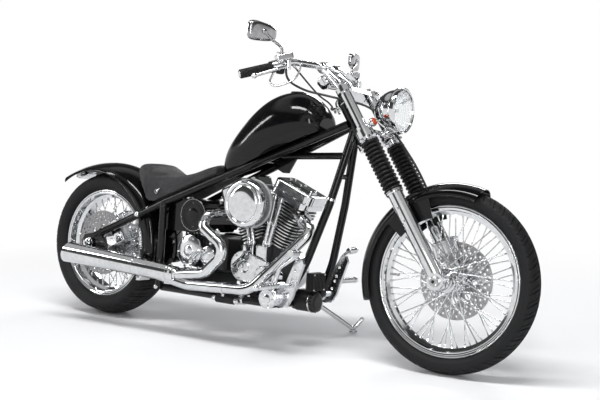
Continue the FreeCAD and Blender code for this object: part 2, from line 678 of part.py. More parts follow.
backbone_start = Vector(964.0, 0, 769.0)
backbone_end = Vector(1262.0, 0, 784.0)
gusset_x = 905.0
gusset_z = rail_z(gusset_x)
gusset_outline = [
    (gusset_x - 6, gusset_z - 6), (backbone_start.x + 60, 778), (backbone_start.x + 14, 700),
    (backbone_start.x - 12, 700), (gusset_x + 4, gusset_z - 30),
]
cradle_parts = [
    neck_tube,
    rod(backbone_start - forward * 20, backbone_end, backbone_radius),
    rod(Vector(gusset_x, -rail_y(gusset_x), gusset_z), Vector(gusset_x, rail_y(gusset_x), gusset_z), 12),
    slab(gusset_outline, -5, 5),
]
down_rows = [  # x, y, z down the left down tube and back along the lower rail
    (1291.0, 6.0, 905.0),
    (1226.0, 56.0, 587.0),
    (1160.0, 95.0, 350.0),
    (1082.0, lower_rail_y, lower_rail_z),
    (post_x + 6, lower_rail_y, lower_rail_z),
]
cross_rows = [  # x, half length, z, radius of the cross tubes between the two sides
    (1062.0, lower_rail_y, lower_rail_z, 12.0),
    (740.0, lower_rail_y, lower_rail_z - 4, 10.0),
    (post_x + 30, lower_rail_y, lower_rail_z - 4, 10.0),
    (1244.0, 30.0, 700.0, 10.0),
]
for side in (1, -1):
    points = [(x, side * y, z) for x, y, z in down_rows]
    cradle_parts.append(bent_rod(points, [400.0, 400.0, 90.0], frame_tube_radius))
for x, half_length, z, radius in cross_rows:
    cradle_parts.append(rod(Vector(x, -half_length, z), Vector(x, half_length, z), radius))
nodes["frame_rails"] = frame_rails
nodes["rear_frame"] = rear_frame
nodes["frame_cradle"] = join(cradle_parts).cut(frame_rails).cut(rear_frame).cut(neck_bore)

axle_reach = axle_nut_y + 20
rear_shaft = turned(rear_axle - left * axle_reach, left, [
    (0, 12), (4, 19), (axle_reach - axle_nut_y - seat_gap, 19),
    (axle_reach - axle_nut_y - seat_gap, axle_radius),
    (axle_reach + axle_nut_y + seat_gap, axle_radius), (axle_reach + axle_nut_y + seat_gap, 19),
    (2 * axle_reach - 4, 19), (2 * axle_reach, 12)])
plate_inner = rail_half_gap - axle_plate_thickness / 2 - seat_gap
right_collar = ring(rear_axle, left, [
    (-rear_hub_half - 0.3, axle_radius - 1), (-rear_hub_half - 0.3, spacer), (-plate_inner, spacer),
    (-plate_inner, axle_radius - 1)])
left_collar = ring(rear_axle, left, [
    (pulley_web_y + 6.3, axle_radius - 1), (pulley_web_y + 6.3, spacer), (plate_inner, spacer),
    (plate_inner, axle_radius - 1)])
nodes["rear_axle"] = join([rear_shaft, right_collar, left_collar]).cut(
    rod(rear_axle - left * 300, rear_axle + left * 300, axle_bore))

rear_caliper_angle = math.radians(-62.0)
rear_caliper = caliper(rear_axle, rear_disc_y, rear_caliper_angle, (112.0, 52.0, 66.0), -82.0)
caliper_stay = slab([(60, 296), (150, 340), (142, 372), (40, 350)], -plate_inner, -plate_inner + 8)
nodes["rear_caliper"] = join([rear_caliper, caliper_stay, rod(
    Vector(118, -plate_inner + 2, 350), Vector(118, -98, 362), 10)]).cut(frame_rails).cut(rear_frame)

# ---- tank, seat, fender ----
tank_rows = [  # x, top, half width
    (690.0, 764.0, 66.0),
    (706.0, 812.0, 86.0),
    (748.0, 876.0, 106.0),
    (820.0, 952.0, 120.0),
    (920.0, 1016.0, 126.0),
    (1010.0, 1032.0, 122.0),
    (1090.0, 1010.0, 106.0),
    (1136.0, 968.0, 82.0),
    (1154.0, 930.0, 56.0),
]


def tank_section(x, top, half_width):
    bottom = rail_z(x) + rail_rise
    height = top - bottom
    base = 0.80 * half_width
    shoulder = 0.70 * half_width

    def at(y, z):
        return Vector(x, y, z)

    edges = [
        Part.LineSegment(at(-base, bottom), at(base, bottom)).toShape(),
        Part.Arc(at(base, bottom), at(half_width, bottom + 0.38 * height),
                 at(shoulder, bottom + 0.80 * height)).toShape(),
        Part.Arc(at(shoulder, bottom + 0.80 * height), at(0, top),
                 at(-shoulder, bottom + 0.80 * height)).toShape(),
        Part.Arc(at(-shoulder, bottom + 0.80 * height), at(-half_width, bottom + 0.38 * height),
                 at(-base, bottom)).toShape(),
    ]
    return Part.Wire(edges)


tank = Part.makeLoft([tank_section(*row) for row in tank_rows], True, False)
cap_at = Vector(1000.0, 0.0, 1028.0)
tank_cap = turned(cap_at, up, [(-6, 30), (3, 32), (6, 28), (7, 0)])
nodes["fuel_tank"] = join([tank, tank_cap])

seat_rows = [  # x, bottom above the rails' tops, top, half width, crown
    (207.0, 196.0, 674.0, 62.0, 8.0),
    (235.0, 164.0, 708.0, 94.0, 20.0),
    (290.0, 88.0, 702.0, 124.0, 26.0),
    (345.0, 24.0, 674.0, 140.0, 26.0),
    (400.0, 0.0, 654.0, 144.0, 24.0),
    (520.0, 0.0, 672.0, 134.0, 20.0),
    (610.0, 0.0, 702.0, 118.0, 18.0),
    (676.0, 0.0, 722.0, 104.0, 16.0),
]


def seat_section(x, raise_by, top, half_width, crown):
    bottom = rail_z(x) + rail_rise + soft_gap + raise_by
    edge = half_width - 6

    def at(y, z):
        return Vector(x, y, z)

    edges = [
        Part.LineSegment(at(-half_width, bottom), at(half_width, bottom)).toShape(),
        Part.LineSegment(at(half_width, bottom), at(edge, top - crown)).toShape(),
        Part.Arc(at(edge, top - crown), at(0, top), at(-edge, top - crown)).toShape(),
        Part.LineSegment(at(-edge, top - crown), at(-half_width, bottom)).toShape(),
    ]
    return Part.Wire(edges)


tail_drop = 190.0          # the tail's arc is this much wider than the rest of the fender's
tail_radius = rear_fender_radius + tail_drop
tail_angle = 27.0
rear_skirt = rear_fender_radius - 70.0   # the skirts' lower edge, from the axle
rear_crown = 190.0         # radius of the section's arc across the top
rear_shoulder = 40.0
front_shell = arc_strip(rear_axle, fender_wire(
    rear_axle, rear_fender_radius, rear_fender_half, rear_skirt, rear_crown, rear_shoulder, fender_wall),
    -99.0, 0.0)
tail_centre = rear_axle - up * tail_drop
tail_shell = arc_strip(tail_centre, fender_wire(
    tail_centre, tail_radius, rear_fender_half, rear_skirt + tail_drop, rear_crown, rear_shoulder,
    fender_wall), 0.0, tail_angle)
skirt_cut = Part.makeCylinder(rear_fender_radius - 54.0, 400, rear_axle + Vector(-40, -200, 12), left)
boss_radius = 9.0
boss_reach = rear_skirt + 6.2   # of the bosses' centres from the axle, just above the skirts' edge
rail_over_axle = rail_z(0) - rear_axle.z
boss_x = (-rail_over_axle * rail_slope + math.sqrt(
    (1 + rail_slope ** 2) * boss_reach ** 2 - rail_over_axle ** 2)) / (1 + rail_slope ** 2)
fender_bosses = []
for side in (1, -1):
    boss_outer = rail_half_gap - frame_tube_radius - seat_gap
    fender_bosses.append(rod(Vector(boss_x, side * (rear_fender_half - 1), rail_z(boss_x)),
                             Vector(boss_x, side * boss_outer, rail_z(boss_x)), boss_radius))
rear_shell = front_shell.fuse(tail_shell).cut(skirt_cut)
nodes["rear_fender"] = rear_shell.multiFuse(fender_bosses).cut(frame_rails).cut(rear_frame)
seat = Part.makeLoft([seat_section(*row) for row in seat_rows], True, False)
rail_space = [upper_rail(side, frame_tube_radius + soft_gap) for side in (1, -1)]
fender_space = arc_strip(rear_axle, fender_wire(
    rear_axle, rear_fender_radius + soft_gap, rear_fender_half + soft_gap, 200.0, rear_crown, rear_shoulder),
    -110.0, 10.0)
nodes["seat"] = seat.cut(fender_space).cut(rail_space[0]).cut(rail_space[1])
lamp_turn = math.radians(tail_angle - 4)      # the tail lamp hangs square under the fender's tail
lamp_out = Vector(-math.sin(lamp_turn), 0, math.cos(lamp_turn))
lamp_ahead = Vector(math.cos(lamp_turn), 0, math.sin(lamp_turn))
tail_lamp_at = tail_centre + lamp_out * (tail_radius - fender_wall)
lamp_height = 0.6 * rear_fender_clearance     # it fills part of the room between the fender and the tyre
lamp_drop = 0.56 * rear_fender_clearance
tail_lamp = block(origin, (64, 96, lamp_height), 0.3 * lamp_height)
tail_lamp.Placement = FreeCAD.Placement(tail_lamp_at - lamp_out * lamp_drop,
                                        FreeCAD.Rotation(lamp_ahead, left, lamp_out, "XZY"))
tail_mount = rod(tail_lamp_at - lamp_out * lamp_drop, tail_lamp_at + lamp_out * (fender_wall / 2), 10)
nodes["tail_lamp"] = join([tail_lamp, tail_mount]).cut(nodes["rear_fender"])


# ---- engine ----
crank = Vector(engine_x, 0, engine_z)
case_half = 62.0
case_radius = 112.0
deck = 128.0               # cylinder base, from the crankshaft
head_at = deck + fin_count * fin_pitch
rocker_at = head_at + head_fin_count * fin_pitch
fin_length = 148.0
fin_width = 124.0
core_radius = 54.0
v_gap = 2.5                # each cylinder's clearance from the plane between them
rocker_length = 200.0
rocker_width = 152.0
rocker_base = 22.0
rocker_cover = 40.0
pushrod_y = -72.0
pushrod_radius = 8.0


def on_cylinder(lean, height, along_engine, y):
    """A point up a cylinder's axis; lean is +1 for the front cylinder and -1 for the rear one."""
    angle = math.radians(cylinder_angle) * lean
    return crank + Vector(math.sin(angle), 0, math.cos(angle)) * height \
        + Vector(math.cos(angle), 0, -math.sin(angle)) * along_engine + left * y


def cylinder_placement(lean, height):
    angle = cylinder_angle * lean
    return FreeCAD.Placement(on_cylinder(lean, height, 0, 0), FreeCAD.Rotation(left, angle))


def cylinder_block(lean, height, size, rounding, shift=0.0, y=0.0):
    """A rounded block standing on a height of the cylinder's axis."""
    body = Part.makeBox(size[0], size[1], size[2], Vector(shift - size[0] / 2, y - size[1] / 2, 0))
    if rounding:
        uprights = [e for e in body.Edges if abs(e.tangentAt(e.FirstParameter).z) > 0.9]
        body = body.makeFillet(rounding, uprights)
    body.Placement = cylinder_placement(lean, height)
    return body


def port_line(lean):
    """Both ends of the exhaust port: the front one points ahead, the rear one out to the right."""
    reach, y = (96, -46) if lean > 0 else (66, -82)
    return on_cylinder(lean, head_at + 28, lean * 44, -30), on_cylinder(lean, head_at + 24, lean * reach, y)


case_parts = [Part.makeCylinder(case_radius, 2 * case_half, crank - left * case_half, left)]
foot_half = lower_rail_y - frame_tube_radius - seat_gap
case_parts.append(block(Vector(engine_x + 26, 0, lower_rail_z + 6), (54, 2 * foot_half, 30)))
for lean in (1, -1):
    case_parts.append(cylinder_block(lean, 0, (122, 2 * case_half, deck), 0))
nodes["crankcase"] = join(case_parts)

cylinders = []
rocker_boxes = []
for lean in (1, -1):
    away_x = crank.x - 400 + v_gap if lean > 0 else crank.x - v_gap
    away = Part.makeBox(400, 400, 600, Vector(away_x, -200, crank.z))
    pieces = []
    core = Part.makeCylinder(core_radius, rocker_at - deck - 2 * seat_gap)
    core.Placement = cylinder_placement(lean, deck + seat_gap)
    pieces.append(core)
    head_core = cylinder_block(lean, head_at, (132, 100, rocker_at - head_at - seat_gap), 20)
    pieces.append(head_core)
    for index in range(fin_count):
        pieces.append(cylinder_block(lean, deck + 4 + index * fin_pitch,
                                     (fin_length, fin_width, fin_thickness), 44))
    for index in range(head_fin_count):
        grow = 6 * math.sin(math.pi * (index + 0.5) / head_fin_count)
        pieces.append(cylinder_block(lean, head_at + 4 + index * fin_pitch,
                                     (fin_length + 16 + grow, fin_width, fin_thickness + 1), 30))
    port = rod(*port_line(lean), header_radius + 5)
    intake = rod(on_cylinder(lean, head_at + 34, -lean * 40, -20),
                 on_cylinder(lean, head_at + 34, -lean * 84, -20), 24)
    pieces += [port, intake]
    cylinders.append(join(pieces).cut(away).cut(nodes["crankcase"]))
    base = cylinder_block(lean, rocker_at, (rocker_length - 12, rocker_width, rocker_base), 26)
    cover = cylinder_block(lean, rocker_at + rocker_base - 0.01,
                           (rocker_length, rocker_width - 14, rocker_cover), 30)
    upright = cover.Placement.inverse()
    top_edges = [e for e in cover.Edges if upright.multVec(e.CenterOfMass).z > rocker_cover - 1]
    cover = cover.makeFillet(9, top_edges)
    rib = cylinder_block(lean, rocker_at + rocker_base + rocker_cover - 1, (rocker_length - 70, 46, 6), 10)
    rocker_boxes.append(join([base, cover, rib]))
nodes["cylinders"] = Part.makeCompound(cylinders)
nodes["rocker_boxes"] = Part.makeCompound(rocker_boxes)

cam_inner = -case_half - seat_gap
cam_outer = cam_inner - 50
cam_outline = belt_outline((engine_x - 48, engine_z + 18), 62, (engine_x + 62, engine_z - 10), 58, cam_inner)
cam_parts = [Part.Face(cam_outline).extrude(Vector(0, cam_outer - cam_inner, 0))]
cam_parts.append(turned(Vector(engine_x + 62, cam_outer + 1, engine_z - 10), left * -1,
                        [(0, 40), (7, 40), (10, 36)]))
cam_parts.append(turned(Vector(engine_x - 48, cam_outer + 1, engine_z + 18), left * -1,
                        [(0, 30), (5, 30), (8, 24)]))
for lean in (1, -1):
    cam_parts.append(block(Vector(engine_x + lean * 34, pushrod_y - 11, engine_z + 78), (54, 40, 64), 4))
    for shift in (18.0, 52.0):
        foot = Vector(engine_x + lean * (18 + shift * 0.55), pushrod_y, engine_z + 104)
        head = on_cylinder(lean, rocker_at - seat_gap, -lean * (78 - shift), pushrod_y)
        cam_parts.append(rod(foot, head, pushrod_radius))
        cam_parts.append(rod(foot, foot + (head - foot) * 0.12, pushrod_radius + 3))
        cam_parts.append(rod(foot + (head - foot) * 0.42, foot + (head - foot) * 0.50, pushrod_radius + 3))
cam_cover = join(cam_parts).cut(nodes["crankcase"]).cut(nodes["cylinders"]).cut(nodes["rocker_boxes"])

clutch = (585.0, 322.0)
primary_inner = 126.0
primary_outer = 182.0
primary_outline = belt_outline(clutch, 104, (engine_x, engine_z), 88, primary_inner)
primary = Part.Face(primary_outline).extrude(Vector(0, primary_outer - primary_inner, 0))
primary = primary.makeFillet(12, [e for e in primary.Edges if e.CenterOfMass.y > primary_outer - 1])
derby = turned(Vector(clutch[0], primary_outer - 1, clutch[1]), left, [(0, 68), (8, 68), (11, 62)])
alternator = rod(crank + left * (case_half + seat_gap), crank + left * (primary_inner + 2), 76)
trans_half = 84.0
trans_boss = rod(Vector(690, trans_half + seat_gap, 330), Vector(690, primary_inner + 2, 330), 26)
primary_cover = join([primary, derby, alternator, trans_boss])
nodes["engine_covers"] = Part.makeCompound([cam_cover, primary_cover])

trans_parts = [block(Vector(628, 0, 342), (240, 2 * trans_half, 146), 14)]
trans_parts.append(block(Vector(600, 0, 218), (110, 2 * foot_half, 80)))
trans_parts.append(block(Vector(600, 0, 264), (110, 2 * trans_half - 12, 40)))
trans_parts.append(turned(Vector(560, -trans_half + 1, 344), left * -1, [(0, 66), (18, 66), (24, 58)]))
trans_parts.append(turned(Vector(654, -trans_half + 1, 330), left * -1, [(0, 40), (14, 40), (18, 34)]))
trans_parts.append(rod(Vector(clutch[0], trans_half - 2, clutch[1]),
                       Vector(clutch[0], primary_inner - seat_gap, clutch[1]), 22))
nodes["transmission"] = join(trans_parts).cut(cam_cover).cut(nodes["crankcase"]).cut(rear_frame) \
    .cut(nodes["frame_cradle"])

# A toothless belt loop round the transmission's and the wheel's pulleys.
front_pulley_radius = 40.0
belt_inner = belt_outline(clutch, front_pulley_radius, (rear_axle.x, rear_axle.z), pulley_radius + soft_gap,
                          belt_y - belt_width / 2)
belt_outer = belt_outline(clutch, front_pulley_radius + belt_thickness, (rear_axle.x, rear_axle.z),
                          pulley_radius + soft_gap + belt_thickness, belt_y - belt_width / 2)
across_belt = Vector(0, belt_width, 0)
belt = Part.Face(belt_outer).extrude(across_belt).cut(Part.Face(belt_inner).extrude(across_belt))
front_pulley = ring(Vector(clutch[0], belt_y, clutch[1]), left, [
    (-belt_width / 2, 22 + seat_gap), (-belt_width / 2, front_pulley_radius),
    (belt_width / 2, front_pulley_radius),
    (belt_width / 2, 22 + seat_gap)])
nodes["drive_belt"] = join([belt, front_pulley])
belt_room = Part.Face(belt_outline(
    clutch, front_pulley_radius + belt_thickness + 5, (rear_axle.x, rear_axle.z),
    pulley_radius + belt_thickness + 6, belt_y - belt_width / 2 - 5))
nodes["rear_fender"] = nodes["rear_fender"].cut(belt_room.extrude(Vector(0, belt_width + 10, 0)))

cleaner_radius = 100.0
cleaner_face = Vector(engine_x + 29, -240.0, engine_z + 279)
cleaner_depth = 96.0
air_cleaner = turned(cleaner_face, left, [
    (-1, 0), (-4, 66), (0, 70), (-2, 76), (2, 80), (4, cleaner_radius - 8), (12, cleaner_radius - 1),
    (22, cleaner_radius), (26, cleaner_radius - 5), (cleaner_depth - 12, cleaner_radius - 12),
    (cleaner_depth, cleaner_radius - 26), (cleaner_depth, 0)])
nodes["air_cleaner"] = air_cleaner
carb_at = Vector(engine_x + 8, 0, engine_z + 284)
manifold = rod(carb_at + left * -56, carb_at + left * -18, 20)
carb_body = block(carb_at + left * -92, (70, 76, 84), 8)
carb_horn = rod(carb_at + left * -120,
                Vector(carb_at.x, cleaner_face.y + cleaner_depth + seat_gap, carb_at.z), 28)
carb_bowl = rod(carb_at + Vector(0, -92, -70), carb_at + Vector(0, -92, -30), 28)
runner = rod(on_cylinder(1, head_at + 34, -84.2, -20), on_cylinder(-1, head_at + 34, 84.2, -20), 19)
nodes["carburettor"] = join([manifold, carb_body, carb_horn, carb_bowl, runner]).cut(nodes["cylinders"]) \
    .cut(cam_cover).cut(nodes["rocker_boxes"])

# ---- exhaust, on the right ----
rear_header_rows = [  # x, y, z after the first bend
    (698.0, -200.0, 462.0),
    (842.0, -200.0, 372.0),
    (728.0, -200.0, 268.0),
    (588.0, -204.0, 248.0),
]
front_header_rows = [
    (966.0, -198.0, 226.0),
    (640.0, -200.0, 212.0),
    (450.0, -214.0, 244.0),
]


def header_start(lean, reach):
    """The header's first two points: the port's mouth and the first bend, straight out from it."""
    root, mouth = port_line(lean)
    way = (mouth - root).normalize()
    return [tuple(mouth + way * seat_gap), tuple(mouth + way * reach)]


muffler_front = Vector(588.0, -204.0, 248.0)
muffler_rear = Vector(-44.0, -238.0, 284.0)
muffler_axis = (muffler_rear - muffler_front).normalize()
muffler_length = (muffler_rear - muffler_front).Length
muffler_wall = 2.5
rear_header = bent_rod(header_start(-1, 95.0) + rear_header_rows, [36.0, 40.0, 46.0, 70.0], header_radius)
front_header = bent_rod(header_start(1, 75.0) + front_header_rows, [44.0, 90.0, 160.0], header_radius)
muffler_shell = turned(muffler_front, muffler_axis, [
    (0, header_radius + 2), (30, muffler_front_radius), (muffler_length + 60, muffler_rear_radius)])
muffler_hollow = turned(muffler_front + muffler_axis * 180, muffler_axis, [
    (0, muffler_front_radius - 2), (muffler_length - 100, muffler_rear_radius - muffler_wall)])
slash = block(origin, (400, 300, 400))
slash.Placement = FreeCAD.Placement(muffler_rear + muffler_axis * 200, FreeCAD.Rotation(left, 14))
hanger_outline = [(352, 200), (372, 200), (post_x - 8, 262), (post_x - 8, 284), (400, 276)]
hanger = slab(hanger_outline, -206, -lower_rail_y - 16.2)
nodes["exhaust_headers"] = join([rear_header, front_header]).cut(nodes["cylinders"])
muffler = muffler_shell.cut(muffler_hollow).cut(slash)
nodes["muffler"] = join([muffler, hanger.cut(muffler_shell.fuse(muffler_hollow))]) \
    .cut(nodes["exhaust_headers"]).cut(rear_frame)

# ---- oil tank, filter and regulator ----
oil_tank_outline = [
    (400, 452), (408, 432), (430, 424), (606, 424), (630, 436), (642, 462), (642, 520), (630, 548),
    (604, 560), (460, 560), (400, 528),
]
oil_tank = slab(oil_tank_outline, -116, 116)
caps = [turned(Vector(586, side * 115, 498), left * side, [(0, 58), (10, 58), (14, 52)]) for side in (1, -1)]
oil_mounts = [rod(Vector(440, side * 110, 500), Vector(post_x, side * (post_y - 6), 500), 8)
              for side in (1, -1)]
oil_space = arc_strip(rear_axle, fender_wire(
    rear_axle, rear_fender_radius + 1, rear_fender_half + 1, 200.0, rear_crown, rear_shoulder), -110.0, 0.0)
nodes["oil_tank"] = join([oil_tank] + caps + oil_mounts).cut(frame_rails).cut(rear_frame).cut(oil_space)

filter_z = 190.0
filter_length = 112.0
filter_front = Vector(engine_x + 261, 0.0, filter_z)
oil_filter = turned(filter_front, forward * -1, [
    (0, 26), (4, 36), (12, 41), (filter_length - 16, 41), (filter_length - 10, 38), (filter_length, 38)])
mount_x = filter_front.x - filter_length - 7
filter_mount = block(Vector(mount_x, 0, filter_z), (30, 70, 50), 4)
mount_reach = rod(Vector(mount_x - 27, 0, filter_z + 32), Vector(mount_x + 3, 0, filter_z + 15), 16)
regulator_x = engine_x + 231
regulator_z = 272.0
regulator_fins = 9
regulator_parts = [block(Vector(regulator_x, 0, regulator_z), (12, 92, 74), 3)]
for index in range(regulator_fins):
    fin_y = (index - (regulator_fins - 1) / 2) * 10
    regulator_parts.append(block(Vector(regulator_x + 16, fin_y, regulator_z), (24, 4, 70)))
regulator_parts.append(block(Vector(regulator_x - 32, 0, regulator_z - 40), (60, 40, 10)))
regulator_parts.append(block(Vector(regulator_x - 6, 0, regulator_z - 30), (10, 60, 30)))
front_mount = block(Vector(mount_x + 25, 0, filter_z + 34), (24, 2 * (lower_rail_y - 14), 12))
nodes["filter_and_regulator"] = join([oil_filter, filter_mount, mount_reach, front_mount] + regulator_parts) \
    .cut(nodes["crankcase"]).cut(nodes["frame_cradle"]).cut(cam_cover)

# ---- forward controls, pegs and stand ----
controls = []
pegs = []
peg_root = (1100.0, 196.0, 262.0)
peg_tip = (1112.0, 338.0, 262.0)
peg_radius = 17.0
peg_pin = 7.0
folded_peg_x = 778.0
folded_peg_length = 94.0
peg_clamp_x = folded_peg_x + folded_peg_length + 11
plate_rows = [
    (1046, 178), (1126, 176), (1150, 214), (1196, 352), (1186, 376), (1160, 372), (1112, 262), (1070, 236),
]
brake_arm_rows = [(1064, -190, 212), (1104, -192, 330), (1196, -200, 392), (1214, -230, 398)]
shift_arm_rows = [(1064, 190, 212), (1112, 192, 312), (1134, 214, 372), (1136, 262, 392)]
slots = [(1128, 236, 1140, 268), (1146, 290, 1158, 326)]
for side in (1, -1):
    plate = slab(plate_rows, side * 150, side * 164)
    for x_from, z_from, x_to, z_to in slots:
        plate = plate.cut(rod(Vector(x_from, -200, z_from), Vector(x_from, 200, z_from), 6))
        plate = plate.cut(rod(Vector(x_to, -200, z_to), Vector(x_to, 200, z_to), 6))
    root = Vector(peg_root[0], side * peg_root[1], peg_root[2])
    tip = Vector(peg_tip[0], side * peg_tip[1], peg_tip[2])
    outward = (tip - root).normalize()
    parts = [plate, rod(Vector(root.x, side * 160, root.z), root, 13),
             rod(root - outward * 2, tip + outward * 6, peg_pin), Part.makeSphere(14, tip + outward * 10),
             rod(Vector(1064, side * 130, 206), Vector(1064, side * 200, 206), 30),
             turned(Vector(1064, side * 199, 206), left * side, [(0, 40), (10, 40), (14, 34)]),
             rod(Vector(1098, side * (lower_rail_y + 4), 214), Vector(1098, side * 156, 214), 16)]
    if side < 0:
        parts.append(bent_rod(brake_arm_rows, 26.0, 8.0))
        parts.append(rod(Vector(1210, -224, 397), Vector(1214, -282, 399), 13))
    else:
        parts.append(bent_rod(shift_arm_rows, 24.0, 8.0))
        parts.append(rod(Vector(1136, 246, 390), Vector(1136, 304, 394), 12))
    controls.append(join(parts).cut(nodes["frame_cradle"]).cut(nodes["filter_and_regulator"]))
    pegs.append(ring(root, outward, [
        (2, peg_pin + seat_gap), (2, peg_radius - 3), (6, peg_radius), ((tip - root).Length - 8, peg_radius),
        ((tip - root).Length - 4, peg_radius - 4), ((tip - root).Length - 4, peg_pin + seat_gap)]))
    peg_line = Vector(0, side * (lower_rail_y + 40), lower_rail_z - 4)
    folded = ring(Vector(folded_peg_x, 0, 0) + peg_line, forward, [
        (0, peg_pin + seat_gap), (0, peg_radius - 3), (4, peg_radius), (folded_peg_length - 4, peg_radius),
        (folded_peg_length, peg_radius - 3), (folded_peg_length, peg_pin + seat_gap)])
    pegs.append(folded)
    hinge = [turned(Vector(folded_peg_x - 22, 0, 0) + peg_line, forward, [
        (0, 6), (3, 11), (13, 11), (18, peg_pin),
        (folded_peg_length + 23, peg_pin), (folded_peg_length + 25, 13),
        (folded_peg_length + 41, 13), (folded_peg_length + 44, 9)]),
             rod(Vector(peg_clamp_x, 0, 0) + peg_line,
                 Vector(peg_clamp_x, side * (lower_rail_y + frame_tube_radius + 3), lower_rail_z - 4), 6.5),
             ring(Vector(peg_clamp_x - 10, side * lower_rail_y, lower_rail_z), forward, [
                 (0, frame_tube_radius + seat_gap), (0, frame_tube_radius + 5), (20, frame_tube_radius + 5),
                 (20, frame_tube_radius + seat_gap)])]
    controls.append(join(hinge))
nodes["forward_controls"] = Part.makeCompound(controls)
nodes["foot_pegs"] = Part.makeCompound(pegs).cut(nodes["forward_controls"])

# ---- hoses and cables that turn with the bars ----
hose_radius = 4.5
cable_radius = 3.5
brake_hose = bent_rod([
    (1118, -262, 1112), (1082, -236, 1060), (1120, -150, 1022), (1246, -84, 1000),
    tuple(on_fork(740, 40, -40)), tuple(on_fork(610, 52, 40)), tuple(on_fork(470, 50, 88)),
    tuple(on_fork(330, 44, 94)), tuple(on_fork(232, 44, 74)), tuple(on_fork(150, 24, 52)),
], [30.0, 60.0, 80.0, 60.0, 90.0, 90.0, 120.0, 80.0], hose_radius)
guide_behind = leg_to_stem + 52.0
control_cables = []
for side in (1, -1):
    control_cables.append(bent_rod([
        (1122, side * 226, 1104), (1128, side * 170, 1072), (1150, side * 70, 1010),
        tuple(on_fork(upper_clamp_at + 24, -guide_behind, side * 16)),
        tuple(on_fork(upper_clamp_at - 16, -guide_behind, side * 16)),
    ], [50.0, 60.0, 20.0], cable_radius))
guide = rod(on_fork(upper_clamp_at, -guide_behind, -30), on_fork(upper_clamp_at, -guide_behind, 30), 8)
guide_arm = rod(on_fork(upper_clamp_at, -guide_behind, 0), on_fork(upper_clamp_at, -leg_to_stem - 20, 0), 7)
lamp_wire = bent_rod([
    tuple(on_fork(lower_clamp_at + 26, 62, -leg_y)), tuple(on_fork(lower_clamp_at + 12, 84, -leg_y + 26)),
    tuple(on_fork(lower_clamp_at + 50, 96, -40)), (1412, -20, 930),
], [20.0, 24.0], 2.5)
fork_side = [nodes[name] for name in ("fork_crown", "hand_controls", "handlebar", "headlight",
                                      "front_caliper", "marker_lamps", "speedometer", "mirrors")]
cable_solids = []
for cable in (brake_hose, join(control_cables + [guide, guide_arm]), lamp_wire):
    for neighbour in fork_side:
        cable = cable.cut(neighbour)
    cable_solids.append(max(cable.Solids, key=lambda piece: piece.Volume))
nodes["cables"] = Part.makeCompound(cable_solids)
steered.add("cables")

# ---- how it stands ----
lean = math.radians(rest_lean)
fork_turn = FreeCAD.Placement(origin, FreeCAD.Rotation(leg_up, rest_steer), stem_low)
leaned_up = Vector(0, -math.sin(lean), math.cos(lean))


def lowest(centre, axle_direction, radius, crown_radius, floor_up):
    """How low a leaned tyre with a round crown reaches along the floor's normal."""
    tilt = axle_direction.dot(floor_up)
    return centre.dot(floor_up) - (radius - crown_radius) * math.sqrt(1 - tilt * tilt) - crown_radius


front_centre = fork_turn.multVec(front_axle)
front_axle_line = fork_turn.Rotation.multVec(left)
front_low = lowest(front_centre, front_axle_line, front_tyre_radius, front_crown_radius, leaned_up)
rear_low = lowest(rear_axle, left, rear_tyre_radius, rear_crown_radius, leaned_up)
pitch = math.asin((front_low - rear_low) / (front_centre.x - rear_axle.x))
stance = FreeCAD.Rotation(left, math.degrees(pitch)).multiply(FreeCAD.Rotation(forward, -rest_lean))
floor_up = stance.inverted().multVec(up)
floor_at = lowest(rear_axle, left, rear_tyre_radius, rear_crown_radius, floor_up)


def on_floor(x, y):
    """The point of the floor under a place on the leaned machine."""
    return Vector(x, y, (floor_at - floor_up.x * x - floor_up.y * y) / floor_up.z)


stand_pivot = Vector(1052.0, 172.0, 158.0)
foot_x = 1132.0
foot_y = 332.0
foot_radius = 17.0
foot_thickness = 6.0
stand_rod = 9.5
stand_eye_radius = 17.0
stand_eye_half = 11.0
stand_pin = 8.0
folded_way = Vector(-0.98, 0.18, -0.08).normalize()
stand_foot = on_floor(foot_x, foot_y)
knee = stand_foot + floor_up * (stand_rod + foot_thickness - 1)
out_way = (knee - stand_pivot).normalize()
stand_axis = forward.cross(out_way - folded_way).normalize()
eye = ring(stand_pivot, stand_axis, [
    (-stand_eye_half, stand_pin + running_gap), (-stand_eye_half, stand_eye_radius),
    (stand_eye_half, stand_eye_radius), (stand_eye_half, stand_pin + running_gap)])
stand_bore = rod(stand_pivot - stand_axis * 30, stand_pivot + stand_axis * 30, stand_pin + running_gap)
leg_points = [stand_pivot, knee, knee + Vector(26, 26, 44)]
stand_leg = bent_rod([tuple(p) for p in leg_points], 20.0, stand_rod)
pad = rod(stand_foot, stand_foot + floor_up * foot_thickness, foot_radius).fuse(
    rod(stand_foot, stand_foot + floor_up * (foot_thickness + stand_rod), stand_rod + 3))
nodes["side_stand"] = join([eye, stand_leg.cut(stand_bore), pad, Part.makeSphere(stand_rod, leg_points[2])])
lug_face = stand_pivot - stand_axis * (stand_eye_half + soft_gap)
lug_back = lug_face - stand_axis * 12
lug = join([rod(lug_back, lug_face, stand_eye_radius),
            rod(lug_back, stand_pivot + stand_axis * (stand_eye_half + soft_gap), stand_pin),
            rod(stand_pivot + stand_axis * (stand_eye_half + soft_gap),
                stand_pivot + stand_axis * (stand_eye_half + 6), stand_pin + 4),
            rod(lug_back, Vector(stand_pivot.x - 14, lower_rail_y, lower_rail_z - 2), 8)])
nodes["frame_cradle"] = join([nodes["frame_cradle"], lug])
stand_space = Part.makeSphere(stand_eye_radius + 10, stand_pivot)
nodes["forward_controls"] = nodes["forward_controls"].cut(stand_space).cut(nodes["frame_cradle"])

